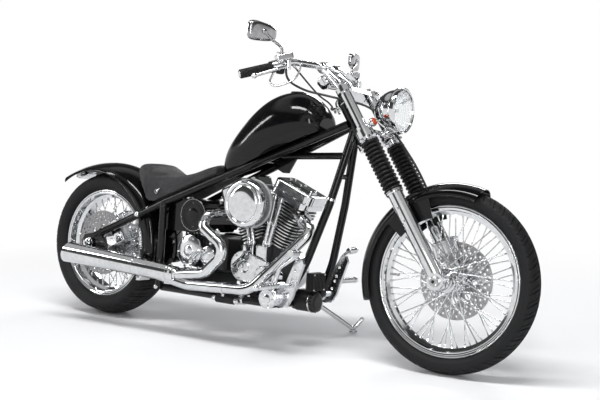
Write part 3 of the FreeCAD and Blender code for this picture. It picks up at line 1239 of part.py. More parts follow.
# The part's own origin is on the floor under the middle of its box.
leaned = {}
for name, shape in nodes.items():
    place = FreeCAD.Placement(origin, stance)
    if name in steered:
        place = place.multiply(fork_turn)
    moved = shape.copy()
    moved.Placement = place.multiply(moved.Placement)
    leaned[name] = moved
outer_names = ("front_tyre", "rear_tyre", "mirrors", "grips", "hand_controls", "forward_controls",
               "foot_pegs", "side_stand")
outer = Part.makeCompound([leaned[name] for name in outer_names])
box = outer.optimalBoundingBox(False, False)
shift = Vector(-(box.XMin + box.XMax) / 2, -(box.YMin + box.YMax) / 2, -floor_at)

os.makedirs("parts", exist_ok=True)
for name, shape in leaned.items():
    shape.translate(shift)
    shape.exportStep("parts/" + name + ".step")


def placed(point, turns=False):
    """A point of the upright machine where it ends up in the part's frame."""
    if turns:
        point = fork_turn.multVec(point)
    return stance.multVec(point) + shift


turned_back = stance.multVec(fork_turn.Rotation.multVec(left))
print("front axle", placed(front_axle, True), "along", turned_back)
print("rear axle", placed(rear_axle), "along", stance.multVec(left))
print("steering axis through", placed(stem_low), "along", stance.multVec(leg_up))
print("stand pivot", placed(stand_pivot), "along", stance.multVec(stand_axis))
flat_out = out_way - stand_axis * out_way.dot(stand_axis)
flat_folded = folded_way - stand_axis * folded_way.dot(stand_axis)
print("stand folds by", math.degrees(flat_out.getAngle(flat_folded)))
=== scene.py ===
import json
import math
import bpy
import numpy as np
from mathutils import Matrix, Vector
from mathutils.bvhtree import BVHTree


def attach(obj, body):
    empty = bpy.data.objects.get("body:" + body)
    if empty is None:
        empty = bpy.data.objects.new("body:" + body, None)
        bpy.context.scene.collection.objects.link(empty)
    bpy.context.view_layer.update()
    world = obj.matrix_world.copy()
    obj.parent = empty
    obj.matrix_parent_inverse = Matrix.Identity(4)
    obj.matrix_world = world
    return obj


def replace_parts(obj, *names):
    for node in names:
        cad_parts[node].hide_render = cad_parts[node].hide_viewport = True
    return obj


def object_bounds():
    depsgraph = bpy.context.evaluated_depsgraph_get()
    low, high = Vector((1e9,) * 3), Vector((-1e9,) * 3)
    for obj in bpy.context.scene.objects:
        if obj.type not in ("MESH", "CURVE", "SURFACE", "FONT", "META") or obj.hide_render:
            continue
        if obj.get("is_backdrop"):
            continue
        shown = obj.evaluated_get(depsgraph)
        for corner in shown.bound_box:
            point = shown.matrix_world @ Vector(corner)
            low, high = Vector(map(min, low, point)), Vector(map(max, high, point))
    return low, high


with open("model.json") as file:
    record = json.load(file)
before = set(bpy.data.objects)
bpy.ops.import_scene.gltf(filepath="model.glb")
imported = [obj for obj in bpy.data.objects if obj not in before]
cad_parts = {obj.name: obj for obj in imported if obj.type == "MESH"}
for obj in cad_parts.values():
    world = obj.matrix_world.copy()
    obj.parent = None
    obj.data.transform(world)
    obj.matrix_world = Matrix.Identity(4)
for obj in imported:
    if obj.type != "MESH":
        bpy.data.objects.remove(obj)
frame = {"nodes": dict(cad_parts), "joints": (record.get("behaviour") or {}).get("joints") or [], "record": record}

cadBox = [list(corner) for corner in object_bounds()]
nodes = frame["nodes"]
record = frame["record"]
joints = {joint["name"]: joint for joint in frame["joints"]}
scene = bpy.context.scene
print("frame loaded:", len(nodes), "nodes")


def unit(vector):
    vector = np.asarray(vector, float)
    return vector / np.linalg.norm(vector, axis=-1, keepdims=True)


def xyz(*row):
    return np.array(row, float)


# The pieces are measured in millimetres on the upright machine: x forward, y to the left, z up from the
# ground, with the rear axle above the origin.
rearJoint = joints["rear_wheel_spin"]
steerJoint = joints["steering"]
leftWay = unit(rearJoint["axis"])
leanAngle = math.acos(leftWay[1])
pitchAngle = math.asin(-leftWay[0] / math.sin(leanAngle))
forwardWay = xyz(math.cos(pitchAngle), 0, -math.sin(pitchAngle))
stanceMatrix = np.stack([forwardWay, leftWay, np.cross(forwardWay, leftWay)], axis=1)
restSteer = -math.radians(sum(steerJoint["range_deg"]) / 2)
steerPoint = np.array(steerJoint["pos_m"])
steerAxis = unit(steerJoint["axis"])

bike = {
    "wheelbase": 1745, "rearRadius": 327.5, "frontRadius": 343, "rake": math.radians(34), "legY": 105,
    "engineX": 905, "engineZ": 292, "cylinderAngle": math.radians(22.5), "railSlope": 0.4366,
    "railAtAxle": 354, "railGap": 139, "railBendX": 420, "neckX": 1268, "neckY": 24,
}
stancePlace = np.array(rearJoint["pos_m"]) - stanceMatrix @ xyz(0, 0, bike["rearRadius"] / 1000)
forward, left, up = np.eye(3)
legUp = xyz(-math.sin(bike["rake"]), 0, math.cos(bike["rake"]))
legFront = xyz(math.cos(bike["rake"]), 0, math.sin(bike["rake"]))
frontAxle = xyz(bike["wheelbase"], 0, bike["frontRadius"])
rearAxle = xyz(0, 0, bike["rearRadius"])
crank = xyz(bike["engineX"], 0, bike["engineZ"])


def onBike(points):
    # upright millimetres become leaned metres: turned by the stance, then shifted
    return np.asarray(points, float) / 1000 @ stanceMatrix.T + stancePlace


def onFork(points):
    # the same, then turned about the steering axis by the parked steer (Rodrigues' formula)
    rows = onBike(points) - steerPoint
    cosine, sine = math.cos(restSteer), math.sin(restSteer)
    along = (rows @ steerAxis)[..., None] * steerAxis
    return rows * cosine + np.cross(steerAxis, rows) * sine + along * (1 - cosine) + steerPoint


placeOf = {"chassis": onBike,
           "rear_wheel": onBike, "stand": onBike, "steering": onFork, "front_wheel": onFork}


def legPoint(upward, ahead, side):
    # a point given along the fork leg from the axle, ahead of the leg and to the left
    return frontAxle + legUp * upward + legFront * ahead + left * side


def railHeight(x):
    return bike["railAtAxle"] + bike["railSlope"] * x


def railPoint(x, side):
    # a point of an upper rail's centre line
    share = max(0, (x - bike["railBendX"]) / (bike["neckX"] - bike["railBendX"]))
    gap = bike["railGap"] - share * (bike["railGap"] - bike["neckY"])
    return xyz(x, side * gap, railHeight(x))


def cylinderWay(lean):
    # up a cylinder's axis; lean is 1 for the front cylinder and -1 for the rear one
    angle = bike["cylinderAngle"] * lean
    return xyz(math.sin(angle), 0, math.cos(angle))


def cylinderPoint(lean, height, along, y):
    way = cylinderWay(lean)
    return crank + way * height + xyz(way[2], 0, -way[0]) * along + left * y


# A form is a pair: an array of points and a list of face arrays.
def joinForms(forms):
    # the points one after another, each form's faces shifted by the points before it
    starts = np.cumsum([0] + [len(points) for points, _ in forms])
    faces = [face + start for (_, group), start in zip(forms, starts) for face in group]
    return np.vstack([points for points, _ in forms]), faces


def basisAlong(direction, guide=None):
    # three square axes, the last along the direction, the first as near the guide as it can be
    direction = unit(direction)
    if guide is None:
        guide = np.where(np.abs(direction[..., 2:3]) < 0.9, up, forward)
    first = unit(guide - (direction * guide).sum(-1, keepdims=True) * direction)
    return np.stack([first, np.cross(direction, first), direction], -2)


def shell(rings, ends=(None, None), closed=False):
    # rings (rows, count, 3) are joined by quads; an end's point is joined to the ring beside it by a fan
    rows, count = rings.shape[:2]
    points = rings.reshape(-1, 3)
    number = np.arange(rows * count).reshape(rows, count)
    after = np.roll(number, -1, 1)
    quads = np.stack([number, after, np.roll(after, -1, 0), np.roll(number, -1, 0)], -1)
    faces = [(quads if closed else quads[:-1]).reshape(-1, 4)]
    for end, fan in zip(ends, ([after[0], number[0]], [number[-1], after[-1]])):
        if end is not None:
            faces.append(np.stack([np.full(count, len(points)), *fan], -1))
            points = np.vstack([points, [end]])
    return points, faces


def setDown(form, start, direction, guide=None):
    # a form's own z is turned to the direction and its origin moved to the start
    return form[0] @ basisAlong(np.asarray(direction, float), guide) + np.asarray(start, float), form[1]


def turn(profile, start=(0, 0, 0), direction=up, sides=48):
    # rows of (distance along the axis, radius) carried round it: a zero radius at an end is one pole, and
    # a profile that has none closes into a ring
    profile = np.asarray(profile, float)
    poles = profile[[0, -1], 1] < 1e-6
    body = profile[int(poles[0]):len(profile) - int(poles[1])]
    around = np.column_stack([circle(1, sides), np.zeros(sides)])
    rings = body[:, 1, None, None] * around + body[:, 0, None, None] * up
    ends = [[0, 0, profile[k, 0]] if poles[k] else None for k in (0, -1)]
    return setDown(shell(rings, ends, closed=not poles.any()), start, direction)


def sweep(path, section, closed=False, guide=None):
    # a flat section (n, 2), or one for each point, carried along a path; a guide steadies its first axis
    path = np.asarray(path, float)
    step = np.roll(path, -1, 0) - np.roll(path, 1, 0) if closed else np.gradient(path, axis=0)
    basis = basisAlong(step, guide)
    rings = path[:, None] + section[..., 0:1] * basis[:, None, 0] + section[..., 1:2] * basis[:, None, 1]
    return shell(rings, (None, None) if closed else (path[0], path[-1]), closed)


def circle(radius, sides=16):
    turns = np.linspace(0, 2 * np.pi, sides + 1)[:-1]
    return np.stack([radius * np.cos(turns), radius * np.sin(turns)], -1)


def wheelPoint(radius, y, angle):
    # places on a wheel: the angle runs upward from straight ahead
    return np.stack(np.broadcast_arrays(radius * np.cos(angle), y, radius * np.sin(angle)), -1)


def tube(path, radius, sides=16):
    # a round tube, its radius one value or one for each point of the path
    sizes = np.broadcast_to(radius, len(path))
    return sweep(path, circle(1, sides) * sizes[:, None, None])


def ripple(share):
    # a cosine raised and halved: 0 at whole numbers and 1 between them
    return 0.5 - 0.5 * np.cos(2 * np.pi * share)


def runAlong(path):
    # a path's whole length, and a function that gives its points at lengths along it
    run = np.append(0, np.cumsum(np.linalg.norm(np.diff(path, axis=0), axis=1)))
    return run[-1], lambda at: np.stack([np.interp(at, run, column) for column in path.T], -1)


def throughPoints(rows, steps=10):
    # Catmull-Rom: a cubic between each pair of points, its slopes from their neighbours
    p = np.asarray(rows, float)
    p = np.vstack([2 * p[0] - p[1], p, 2 * p[-1] - p[-2]])
    t = np.linspace(0, 1, steps, endpoint=False)[None, :, None]
    a, b, c, d = (p[k:len(p) - 3 + k, None] for k in range(4))
    curve = 0.5 * (2 * b + (c - a) * t + (2 * a - 5 * b + 4 * c - d) * t ** 2 + (3 * b - a - 3 * c + d)
                   * t ** 3)
    return np.vstack([curve.reshape(-1, p.shape[1]), p[-2:-1]])


def repeatForm(form, places, directions):
    # one small form set down at many places, its own z along each direction
    points, faces = form
    basis = basisAlong(np.broadcast_to(directions, np.shape(places)))
    copies = np.einsum("pk,nkj->npj", points, basis) + np.asarray(places)[:, None]
    starts = np.arange(len(places))[:, None, None] * len(points)
    return copies.reshape(-1, 3), [(face + starts).reshape(-1, face.shape[1]) for face in faces]


def roundedBox(size, start=(0, 0, 0), direction=up, guide=None, power=5, rows=14, columns=40):
    # a superellipsoid: each coordinate is a cosine or sine raised to 2 / power, with its sign kept
    def signedPower(value):
        return np.sign(value) * np.abs(value) ** (2 / power)
    v = np.linspace(-np.pi / 2, np.pi / 2, rows + 2)[1:-1, None]
    u = np.linspace(0, 2 * np.pi, columns + 1)[None, :-1]
    x = signedPower(np.cos(v)) * signedPower(np.cos(u)) * size[0] / 2
    y = signedPower(np.cos(v)) * signedPower(np.sin(u)) * size[1] / 2
    z = signedPower(np.sin(v)) * np.ones_like(u) * size[2] / 2
    ends = [[0, 0, -size[2] / 2], [0, 0, size[2] / 2]]
    return setDown(shell(np.stack([x, y, z], -1), ends), start, direction, guide)


def addObject(name, data):
    piece = bpy.data.objects.new(name, data)
    scene.collection.objects.link(piece)
    return piece


def putForm(name, form, finishName, body="chassis", sharp=35, slot=None, local=False):
    # one form, or a list of them, becomes a mesh whose place is in its points; edges past the angle stay
    # hard, and a form already in metres is local
    points, faces = joinForms(form) if isinstance(form, list) else form
    points = points if local else placeOf[body](points)
    mesh = bpy.data.meshes.new(name)
    mesh.from_pydata(points.tolist(), [], [row for group in faces for row in group.tolist()])
    mesh.update()
    mesh.polygons.foreach_set("use_smooth", np.ones(len(mesh.polygons), bool))
    mesh.set_sharp_from_angle(angle=math.radians(sharp))
    mesh.materials.append(finish[finishName])
    piece = addObject(name, mesh)
    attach(piece, body)
    return piece


# Shared effects are groups that put out only masks, heights and values that vary.
def fillInputs(tree, node, values):
    for key, value in values.items():
        if isinstance(value, bpy.types.NodeSocket):
            tree.links.new(value, node.inputs[key])
        else:
            node.inputs[key].default_value = value
    return node


def put(tree, kind, inputs=None, **settings):
    node = tree.nodes.new("ShaderNode" + kind)
    for key, value in settings.items():
        setattr(node, key, value)
    return fillInputs(tree, node, inputs or {})


def maths(tree, operation, *values):
    return put(tree, "Math", dict(enumerate(values)), operation=operation).outputs[0]


def vectorMaths(tree, operation, *values):
    # a length and a dot product come out as a value, the rest as a vector
    outputs = put(tree, "VectorMath", dict(enumerate(values)), operation=operation).outputs
    return outputs["Value" if operation in ("LENGTH", "DOT_PRODUCT") else "Vector"]


def mapRange(tree, value, low, high, end="To"):
    return put(tree, "MapRange",
               {"Value": value, end + " Min": low, end + " Max": high}).outputs["Result"]


def mixColour(tree, amount, first, second):
    first, second = (side if isinstance(side, bpy.types.NodeSocket) else (*side, 1)
                     for side in (first, second))
    return put(tree, "Mix", {0: amount, 6: first, 7: second}, data_type="RGBA").outputs[2]


def objectPlace(tree):
    return put(tree, "TexCoord").outputs["Object"]


def noise(tree, place, scale, detail, output="Fac"):
    return put(tree, "TexNoise", {"Vector": place, "Scale": scale, "Detail": detail}).outputs[output]


def useGroup(tree, group, **values):
    return fillInputs(tree, put(tree, "Group", node_tree=group), values).outputs


def startGroup(name, inputs, outputs):
    # an input is a vector where its starting value is a row of three, and every output is a value
    tree = bpy.data.node_groups.new(name, "ShaderNodeTree")
    for label, value in inputs.items():
        kind = "NodeSocketVector" if isinstance(value, tuple) else "NodeSocketFloat"
        tree.interface.new_socket(label, in_out="INPUT", socket_type=kind).default_value = value
    for label in outputs:
        tree.interface.new_socket(label, in_out="OUTPUT", socket_type="NodeSocketFloat")
    return tree, tree.nodes.new("NodeGroupInput").outputs, tree.nodes.new("NodeGroupOutput")


def buildUneven():
    # slow noise times fast noise, stretched to 0..1: how handled or dusty each spot is
    tree, entry, exit_ = startGroup("unevenSurface", {"Scale": 6.0}, ["Mask"])
    place = objectPlace(tree)
    slow = noise(tree, place, entry["Scale"], 3.0)
    fast = noise(tree, place, maths(tree, "MULTIPLY", entry["Scale"], 9.0), 4.0)
    fillInputs(tree, exit_,
               {"Mask": mapRange(tree, maths(tree, "MULTIPLY", slow, fast), 0.13, 0.38, "From")})
    return tree


def buildGrain():
    # fine noise as a height, for moulded, cast and coated skins
    tree, entry, exit_ = startGroup("fineGrain", {"Scale": 600.0, "Detail": 2.0}, ["Height"])
    skin = put(tree, "TexNoise", {"Vector": objectPlace(tree), "Scale": entry["Scale"],
                                  "Detail": entry["Detail"], "Roughness": 0.6})
    fillInputs(tree, exit_, {"Height": skin.outputs["Fac"]})
    return tree


def buildHideGrain():
    # leather: the distance between cell edges makes pebbles, a slower noise makes them uneven
    tree, entry, exit_ = startGroup("hideGrain", {"Scale": 420.0}, ["Height", "Crease"])
    place = objectPlace(tree)
    bend = noise(tree, place, 60.0, 2.0, "Color")
    shift = put(tree, "MixRGB", {"Fac": 0.004, "Color1": place, "Color2": bend}).outputs["Color"]
    cells = put(tree, "TexVoronoi", {"Vector": shift, "Scale": entry["Scale"]},
                feature="DISTANCE_TO_EDGE")
    crease = mapRange(tree, cells.outputs["Distance"], 0.0, 0.16, "From")
    height = maths(tree, "MULTIPLY", crease, noise(tree, place, 90.0, 3.0))
    fillInputs(tree, exit_, {"Height": height, "Crease": crease})
    return tree


def axisDistance(tree, entry):
    # how far a spot lies from an axis: the length of its cross product with the axis
    away = vectorMaths(tree, "SUBTRACT", objectPlace(tree), entry["Centre"])
    return vectorMaths(tree, "LENGTH", vectorMaths(tree, "CROSS_PRODUCT", away, entry["Axis"]))


def buildRings():
    # turned or brushed metal: fine rings round an axis, from the distance to it, as a height
    tree, entry, exit_ = startGroup("turnedRings",
                                    {"Centre": (0, 0, 0), "Axis": (0, 1, 0), "Pitch": 900.0}, ["Height"])
    fine = maths(tree, "MULTIPLY", axisDistance(tree, entry), entry["Pitch"])
    rings = put(tree, "TexNoise", {"W": fine, "Scale": 1.0, "Detail": 3.0}, noise_dimensions="1D")
    fillInputs(tree, exit_, {"Height": rings.outputs["Fac"]})
    return tree


def buildFinEdges():
    # 1 where a face looks away from the cylinder's axis and lies beyond a radius from it: the fins' edges
    tree, entry, exit_ = startGroup("finEdges", {"Centre": (0, 0, 0), "Axis": (0, 0, 1), "Radius": 0.058},
                                    ["Mask", "Side"])
    facing = put(tree, "NewGeometry").outputs["Normal"]
    beyond = maths(tree, "GREATER_THAN", axisDistance(tree, entry), entry["Radius"])
    size = maths(tree, "ABSOLUTE", vectorMaths(tree, "DOT_PRODUCT", facing, entry["Axis"]))
    mask = maths(tree, "MULTIPLY", beyond, maths(tree, "LESS_THAN", size, 0.5))
    fillInputs(tree, exit_, {"Mask": mask, "Side": size})
    return tree


unevenSurface = buildUneven()
fineGrain = buildGrain()
hideGrain = buildHideGrain()
turnedRings = buildRings()
finEdges = buildFinEdges()


def blankMaterial(name):
    material = bpy.data.materials.new(name)
    material.use_nodes = True
    material.node_tree.nodes.clear()
    return material, material.node_tree


def startMaterial(name, **sockets):
    material, tree = blankMaterial(name)
    shader = put(tree, "BsdfPrincipled",
                 {label.replace("_", " "): value for label, value in sockets.items()})
    put(tree, "OutputMaterial", {"Surface": shader.outputs["BSDF"]})
    return material, tree, shader


def addBump(tree, shader, height, depth):
    bump = put(tree, "Bump", {"Height": height, "Distance": depth, "Strength": 1.0})
    fillInputs(tree, shader, {"Normal": bump.outputs["Normal"]})


def unevenMask(tree, scale):
    return useGroup(tree, unevenSurface, Scale=scale)["Mask"]


def makeFinish(name, colour, tint, rough, metallic=0.0, coat=(0.0, 0.05), grain=(700, 0), uneven=7.0,
               specular=0.5):
    # colour drifts to the tint and roughness between its two values by the uneven mask; grain is a bump
    # given by its scale and its depth, and a coat by its weight and its roughness
    material, tree, shader = startMaterial(name, Metallic=metallic, Coat_Weight=coat[0],
                                           Coat_Roughness=coat[1], Specular_IOR_Level=specular)
    mask = unevenMask(tree, uneven)
    fillInputs(tree, shader, {"Base Color": mixColour(tree, mask, colour, tint),
                              "Roughness": mapRange(tree, mask, *rough)})
    if grain[1]:
        addBump(tree, shader, useGroup(tree, fineGrain, Scale=grain[0])["Height"], grain[1])
    return material


def makeHide():
    # black leather: pebbled bump, paler worn patches and painted shade darkening the creases between the pebbles
    material, tree, shader = startMaterial("hide", Sheen_Weight=0.10, Sheen_Roughness=0.4,
                                           Specular_IOR_Level=0.30)
    grain = useGroup(tree, hideGrain, Scale=430.0)
    mask = unevenMask(tree, 9.0)
    worn = mixColour(tree, mask, (0.017, 0.017, 0.0185), (0.036, 0.036, 0.039))
    # painted shade: the crease mask darkens the colour in the creases between the pebbles
    fillInputs(tree, shader, {"Base Color": mixColour(tree, grain["Crease"], (0.007, 0.007, 0.008), worn),
                              "Roughness": mapRange(tree, mask, 0.58, 0.44)})
    addBump(tree, shader, grain["Height"], 0.0006)
    return material


def makeFinnedBlack():
    # satin black castings whose fin edges are machined bright; each cylinder has its own axis
    material, tree, shader = startMaterial("finnedBlack")
    dark = mixColour(tree, unevenMask(tree, 8.0), (0.006, 0.006, 0.0065), (0.013, 0.013, 0.014))
    masks = []
    for lean in (1, -1):
        foot, high = onBike([cylinderPoint(lean, 0, 0, 0), cylinderPoint(lean, 300, 0, 0)])
        masks.append(useGroup(tree, finEdges, Centre=tuple(foot), Axis=tuple(unit(high - foot)))["Mask"])
    ahead = vectorMaths(tree, "SUBTRACT", objectPlace(tree), tuple(onBike(crank)))
    front = maths(tree, "GREATER_THAN", vectorMaths(tree, "DOT_PRODUCT", ahead, tuple(forwardWay)), 0.0)
    edge = put(tree, "Mix", {0: front, 2: masks[1], 3: masks[0]}, data_type="FLOAT").outputs[0]
    fillInputs(tree, shader, {"Base Color": mixColour(tree, edge, dark, (0.80, 0.80, 0.80)),
                              "Metallic": edge, "Roughness": mapRange(tree, edge, 0.46, 0.24)})
    addBump(tree, shader, useGroup(tree, fineGrain, Scale=900.0)["Height"], 0.00012)
    return material


def makeDisc(name, body, centre, bright):
    # ground steel: fine rings round the axle and a slow change of roughness
    material, tree, shader = startMaterial(name, Metallic=1.0)
    middle, side = placeOf[body]([centre, centre + left * 100])
    ring = useGroup(tree, turnedRings, Centre=tuple(middle), Axis=tuple(unit(side - middle)),
                    Pitch=1400.0)
    mask = unevenMask(tree, 10.0)
    pale, dim = np.array([(1.0, 1.0, 1.02), (0.8, 0.8, 0.82)]) * bright
    fillInputs(tree, shader, {"Base Color": mixColour(tree, mask, pale, dim),
                              "Roughness": mapRange(tree, mask, 0.20, 0.34)})
    addBump(tree, shader, ring["Height"], 0.00004)
    return material


def makeGlass(name, colour, roughness, transmission):
    # clear or coloured glass; a faint uneven film only changes its roughness
    material, tree, shader = startMaterial(name, Base_Color=(*colour, 1),
                                           Transmission_Weight=transmission, IOR=1.45, Metallic=0.0)
    film = mapRange(tree, unevenMask(tree, 14.0), roughness, roughness + 0.03)
    fillInputs(tree, shader, {"Roughness": film})
    return material


metal = {"metallic": 1.0}
finishRows = {  # colour, tint, roughness from and to, then what differs from makeFinish's usual values
    "framePaint": ((0.003, 0.003, 0.0035), (0.006, 0.006, 0.0065), (0.14, 0.24),
                   {"coat": (0.28, 0.04), "grain": (420, 0.00005), "specular": 0.18}),
    "bodyPaint": ((0.002, 0.002, 0.0025), (0.004, 0.004, 0.0045), (0.10, 0.18),
                  {"coat": (0.34, 0.015), "grain": (160, 0.00001), "specular": 0.14}),
    "engineBlack": ((0.006, 0.006, 0.0065), (0.013, 0.013, 0.014), (0.32, 0.52),
                    {"grain": (900, 0.00014), "specular": 0.35}),
    "chrome": ((0.72, 0.73, 0.74), (0.60, 0.61, 0.62), (0.03, 0.10), metal),
    "darkChrome": ((0.42, 0.42, 0.43), (0.34, 0.34, 0.35), (0.10, 0.22), metal),
    "polishedAlloy": ((0.78, 0.79, 0.80), (0.64, 0.65, 0.67), (0.12, 0.28),
                      {"grain": (1200, 0.00002), **metal}),
    "castAlloy": ((0.50, 0.51, 0.52), (0.36, 0.36, 0.37), (0.38, 0.55),
                  {"grain": (1500, 0.00016), **metal}),
    "groundSteel": ((0.56, 0.57, 0.58), (0.42, 0.42, 0.43), (0.22, 0.38),
                    {"grain": (1500, 0.00003), **metal}),
    "thread": ((0.05, 0.05, 0.052), (0.09, 0.09, 0.092), (0.6, 0.8), {"grain": (2600, 0.0002)}),
    "mouldedRubber": ((0.008, 0.008, 0.009), (0.017, 0.017, 0.018), (0.45, 0.65),
                      {"grain": (1400, 0.0001), "specular": 0.3}),
    "gaiterRubber": ((0.004, 0.004, 0.0045), (0.009, 0.009, 0.0095), (0.34, 0.50),
                     {"grain": (900, 0.00008), "specular": 0.3}),
    "tyreRubber": ((0.005, 0.0053, 0.006), (0.011, 0.0113, 0.0125), (0.55, 0.78),
                   {"grain": (1100, 0.00018), "uneven": 11.0, "specular": 0.28}),
    "mirrorGlass": ((0.90, 0.91, 0.92), (0.86, 0.87, 0.88), (0.01, 0.03), metal),
    "reflector": ((0.90, 0.91, 0.92), (0.84, 0.85, 0.86), (0.04, 0.10), metal),
    "dialBlack": ((0.010, 0.010, 0.010), (0.016, 0.016, 0.016), (0.5, 0.6), {"grain": (3000, 0.00004)}),
    "dialWhite": ((0.80, 0.80, 0.78), (0.72, 0.72, 0.70), (0.4, 0.5), {}),
    "dialRed": ((0.60, 0.03, 0.02), (0.50, 0.02, 0.02), (0.4, 0.5), {}),
    "filterPaper": ((0.26, 0.26, 0.27), (0.38, 0.38, 0.38), (0.7, 0.9), {"grain": (1800, 0.0002)}),
    "porcelain": ((0.78, 0.78, 0.76), (0.70, 0.70, 0.68), (0.2, 0.3), {}),
    "hose": ((0.010, 0.010, 0.011), (0.020, 0.020, 0.021), (0.32, 0.5), {"grain": (2200, 0.0001)}),
}
finish = {name: makeFinish(name, colour, tint, rough, **more)
          for name, (colour, tint, rough, more) in finishRows.items()}
finish["finnedBlack"] = makeFinnedBlack()
finish["frontDiscSteel"] = makeDisc("frontDiscSteel", "front_wheel", frontAxle, 0.48)
finish["rearDiscSteel"] = makeDisc("rearDiscSteel", "rear_wheel", rearAxle, 0.30)
finish["hide"] = makeHide()
for name, colour, roughness, transmission in (("redLens", (0.75, 0.02, 0.02), 0.05, 0.65), (
        "amberLens", (0.68, 0.09, 0.015), 0.05, 0.45), ("clearGlass", (0.98, 0.99, 0.99), 0.0, 1.0)):
    finish[name] = makeGlass(name, colour, roughness, transmission)

slotFinish = {
    "frame_paint": "framePaint", "body_paint": "bodyPaint", "engine_black": "engineBlack",
    "chrome": "chrome", "polished_alloy": "polishedAlloy", "steel": "groundSteel", "leather": "hide",
    "rubber": "mouldedRubber", "tyre": "tyreRubber", "red_lens": "redLens", "amber_lens": "amberLens",
    "hose": "hose",
}
finishSlot = {name: slot for slot, name in slotFinish.items()}
finishSlot.update(darkChrome="steel", dialWhite="steel", clearGlass="chrome", mirrorGlass="chrome",
                  reflector="chrome", porcelain="chrome", gaiterRubber="rubber", filterPaper="rubber",
                  dialBlack="engine_black", dialRed="red_lens", castAlloy="polished_alloy",
                  thread="leather")
nodeFinish = {"cylinders": "finnedBlack", "fork_sliders": "chrome", "forward_controls": "polishedAlloy",
              "side_stand": "chrome", "front_disc": "frontDiscSteel", "rear_disc": "rearDiscSteel"}
for part in record["subparts"]:
    materials = nodes[part["node"]].data.materials
    materials.clear()
    materials.append(finish[nodeFinish.get(part["node"], slotFinish[part["material_slot"]])])
print("finishes:", len(finish))


def threePointArc(a, b, c, count):
    # points of the circle through a, b and c, evenly by angle from a to c
    a, b, c = (np.asarray(p, float) for p in (a, b, c))
    centre = np.linalg.solve(2 * np.array([b - a, c - a]), np.array([b @ b - a @ a, c @ c - a @ a]))
    first = math.atan2(*(a - centre)[::-1])
    middle = (math.atan2(*(b - centre)[::-1]) - first) % (2 * math.pi)
    last = (math.atan2(*(c - centre)[::-1]) - first) % (2 * math.pi)
    if middle > last:
        last -= 2 * math.pi
    angles = first + np.linspace(0, last, count)
    return centre + np.linalg.norm(a - centre) * np.stack([np.cos(angles), np.sin(angles)], -1)


tyreSettings = {
    "front": {"centre": frontAxle, "radius": 343, "half": 46, "crown": 46, "rim": 280.5, "rimHalf": 30,
              "pitches": 46, "depth": 4.4, "skew": 0.095, "body": "front_wheel", "node": "front_tyre"},
    "rear": {"centre": rearAxle, "radius": 327.5, "half": 90, "crown": 105, "rim": 242.5, "rimHalf": 62.5,
             "pitches": 40, "depth": 5.4, "skew": 0.115, "body": "rear_wheel", "node": "rear_tyre"},
}


def tyreSection(s):
    # sideways and radial coordinates from the left bead over the crown to the right bead
    shoulder = math.asin(min(0.62 * s["half"] / s["crown"], 0.75))
    shoulderY = s["crown"] * math.sin(shoulder)
    shoulderR = s["radius"] - s["crown"] * (1 - math.cos(shoulder))
    widest = s["rim"] + 0.45 * (s["radius"] - s["rim"])
    bead, lip, seat = s["rimHalf"] - 4, s["rim"] + 1, s["rim"] - 14
    wallMid = (bead + 0.80 * (s["half"] - bead), lip + 0.45 * (widest - lip))
    shoulderMid = (shoulderY + 0.72 * (s["half"] - shoulderY), widest + 0.68 * (shoulderR - widest))
    wall = threePointArc((bead, lip), wallMid, (s["half"], widest), 15)
    side = threePointArc((s["half"], widest), shoulderMid, (shoulderY, shoulderR), 13)[1:]
    angles = np.linspace(shoulder, 0, 15)[1:]
    crown = np.stack([s["crown"] * np.sin(angles), s["radius"] - s["crown"] * (1 - np.cos(angles))], -1)
    half = np.vstack([[(bead - 1.5, seat)], wall, side, crown])
    return np.vstack([half, half[:-1][::-1] * [-1, 1]])


def makeTyre(label):
    # a ring of the section; each groove is a narrow run of columns sunk into it, skewed off the middle
    s = tyreSettings[label]
    section = tyreSection(s)
    across = np.abs(section[:, 0]) / s["half"]
    tread = np.clip((across - 0.12) / 0.05, 0, 1) * np.clip((0.97 - across) / 0.06, 0, 1)
    tread *= section[:, 1] > s["rim"] + 22
    tangent = np.gradient(section, axis=0)
    inward = unit(np.stack([tangent[:, 1], -tangent[:, 0]], -1))
    outside = np.einsum("ij,ij->i", inward, section - [0, s["rim"] + 20]) > 0
    inward *= np.where(outside, -1, 1)[:, None]
    pattern = np.array([(0, 0), (0.27, 0), (0.30, 1), (0.38, 1), (0.41, 0), (0.68, 0), (0.70, 0.6),
                        (0.75, 0.6), (0.77, 0)])
    fraction = (np.arange(s["pitches"])[:, None] + pattern[:, 0]).ravel() / s["pitches"]
    groove = np.tile(pattern[:, 1], s["pitches"])
    skew = s["skew"] * np.clip(across, 0.1, 0.9) * np.sign(section[:, 0] + 1e-9)
    rings = 0.7 * (
        (np.abs(section[:, 1] - (s["rim"] + 9)) < 1.6) | (np.abs(section[:, 1] - (s["rim"] + 17)) < 1.2))
    shallow = np.where(across > 0.62, 0.6, 1)
    middle = np.clip(1 - np.abs(across - 0.08) / 0.05, 0, 1) * (section[:, 1] > s["rim"] + 25)
    depth = ((tread * shallow)[:, None] * groove[None, :] + 0.8
             * middle[:, None]) * s["depth"] - rings[:, None]
    y, radius = (section[:, k, None] + inward[:, k, None] * depth for k in (0, 1))
    points = wheelPoint(radius, y, 2 * np.pi * fraction + skew[:, None]) + s["centre"]
    tyre = putForm(label + "TyreTread", shell(points, closed=True), "tyreRubber", s["body"], 40)
    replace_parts(tyre, s["node"])


for label in tyreSettings:
    makeTyre(label)
print("tyres ready")


gaiterSettings = {"ribs": 13, "outer": 37, "dip": 8.5, "low": 372, "high": 598, "inner": 21}


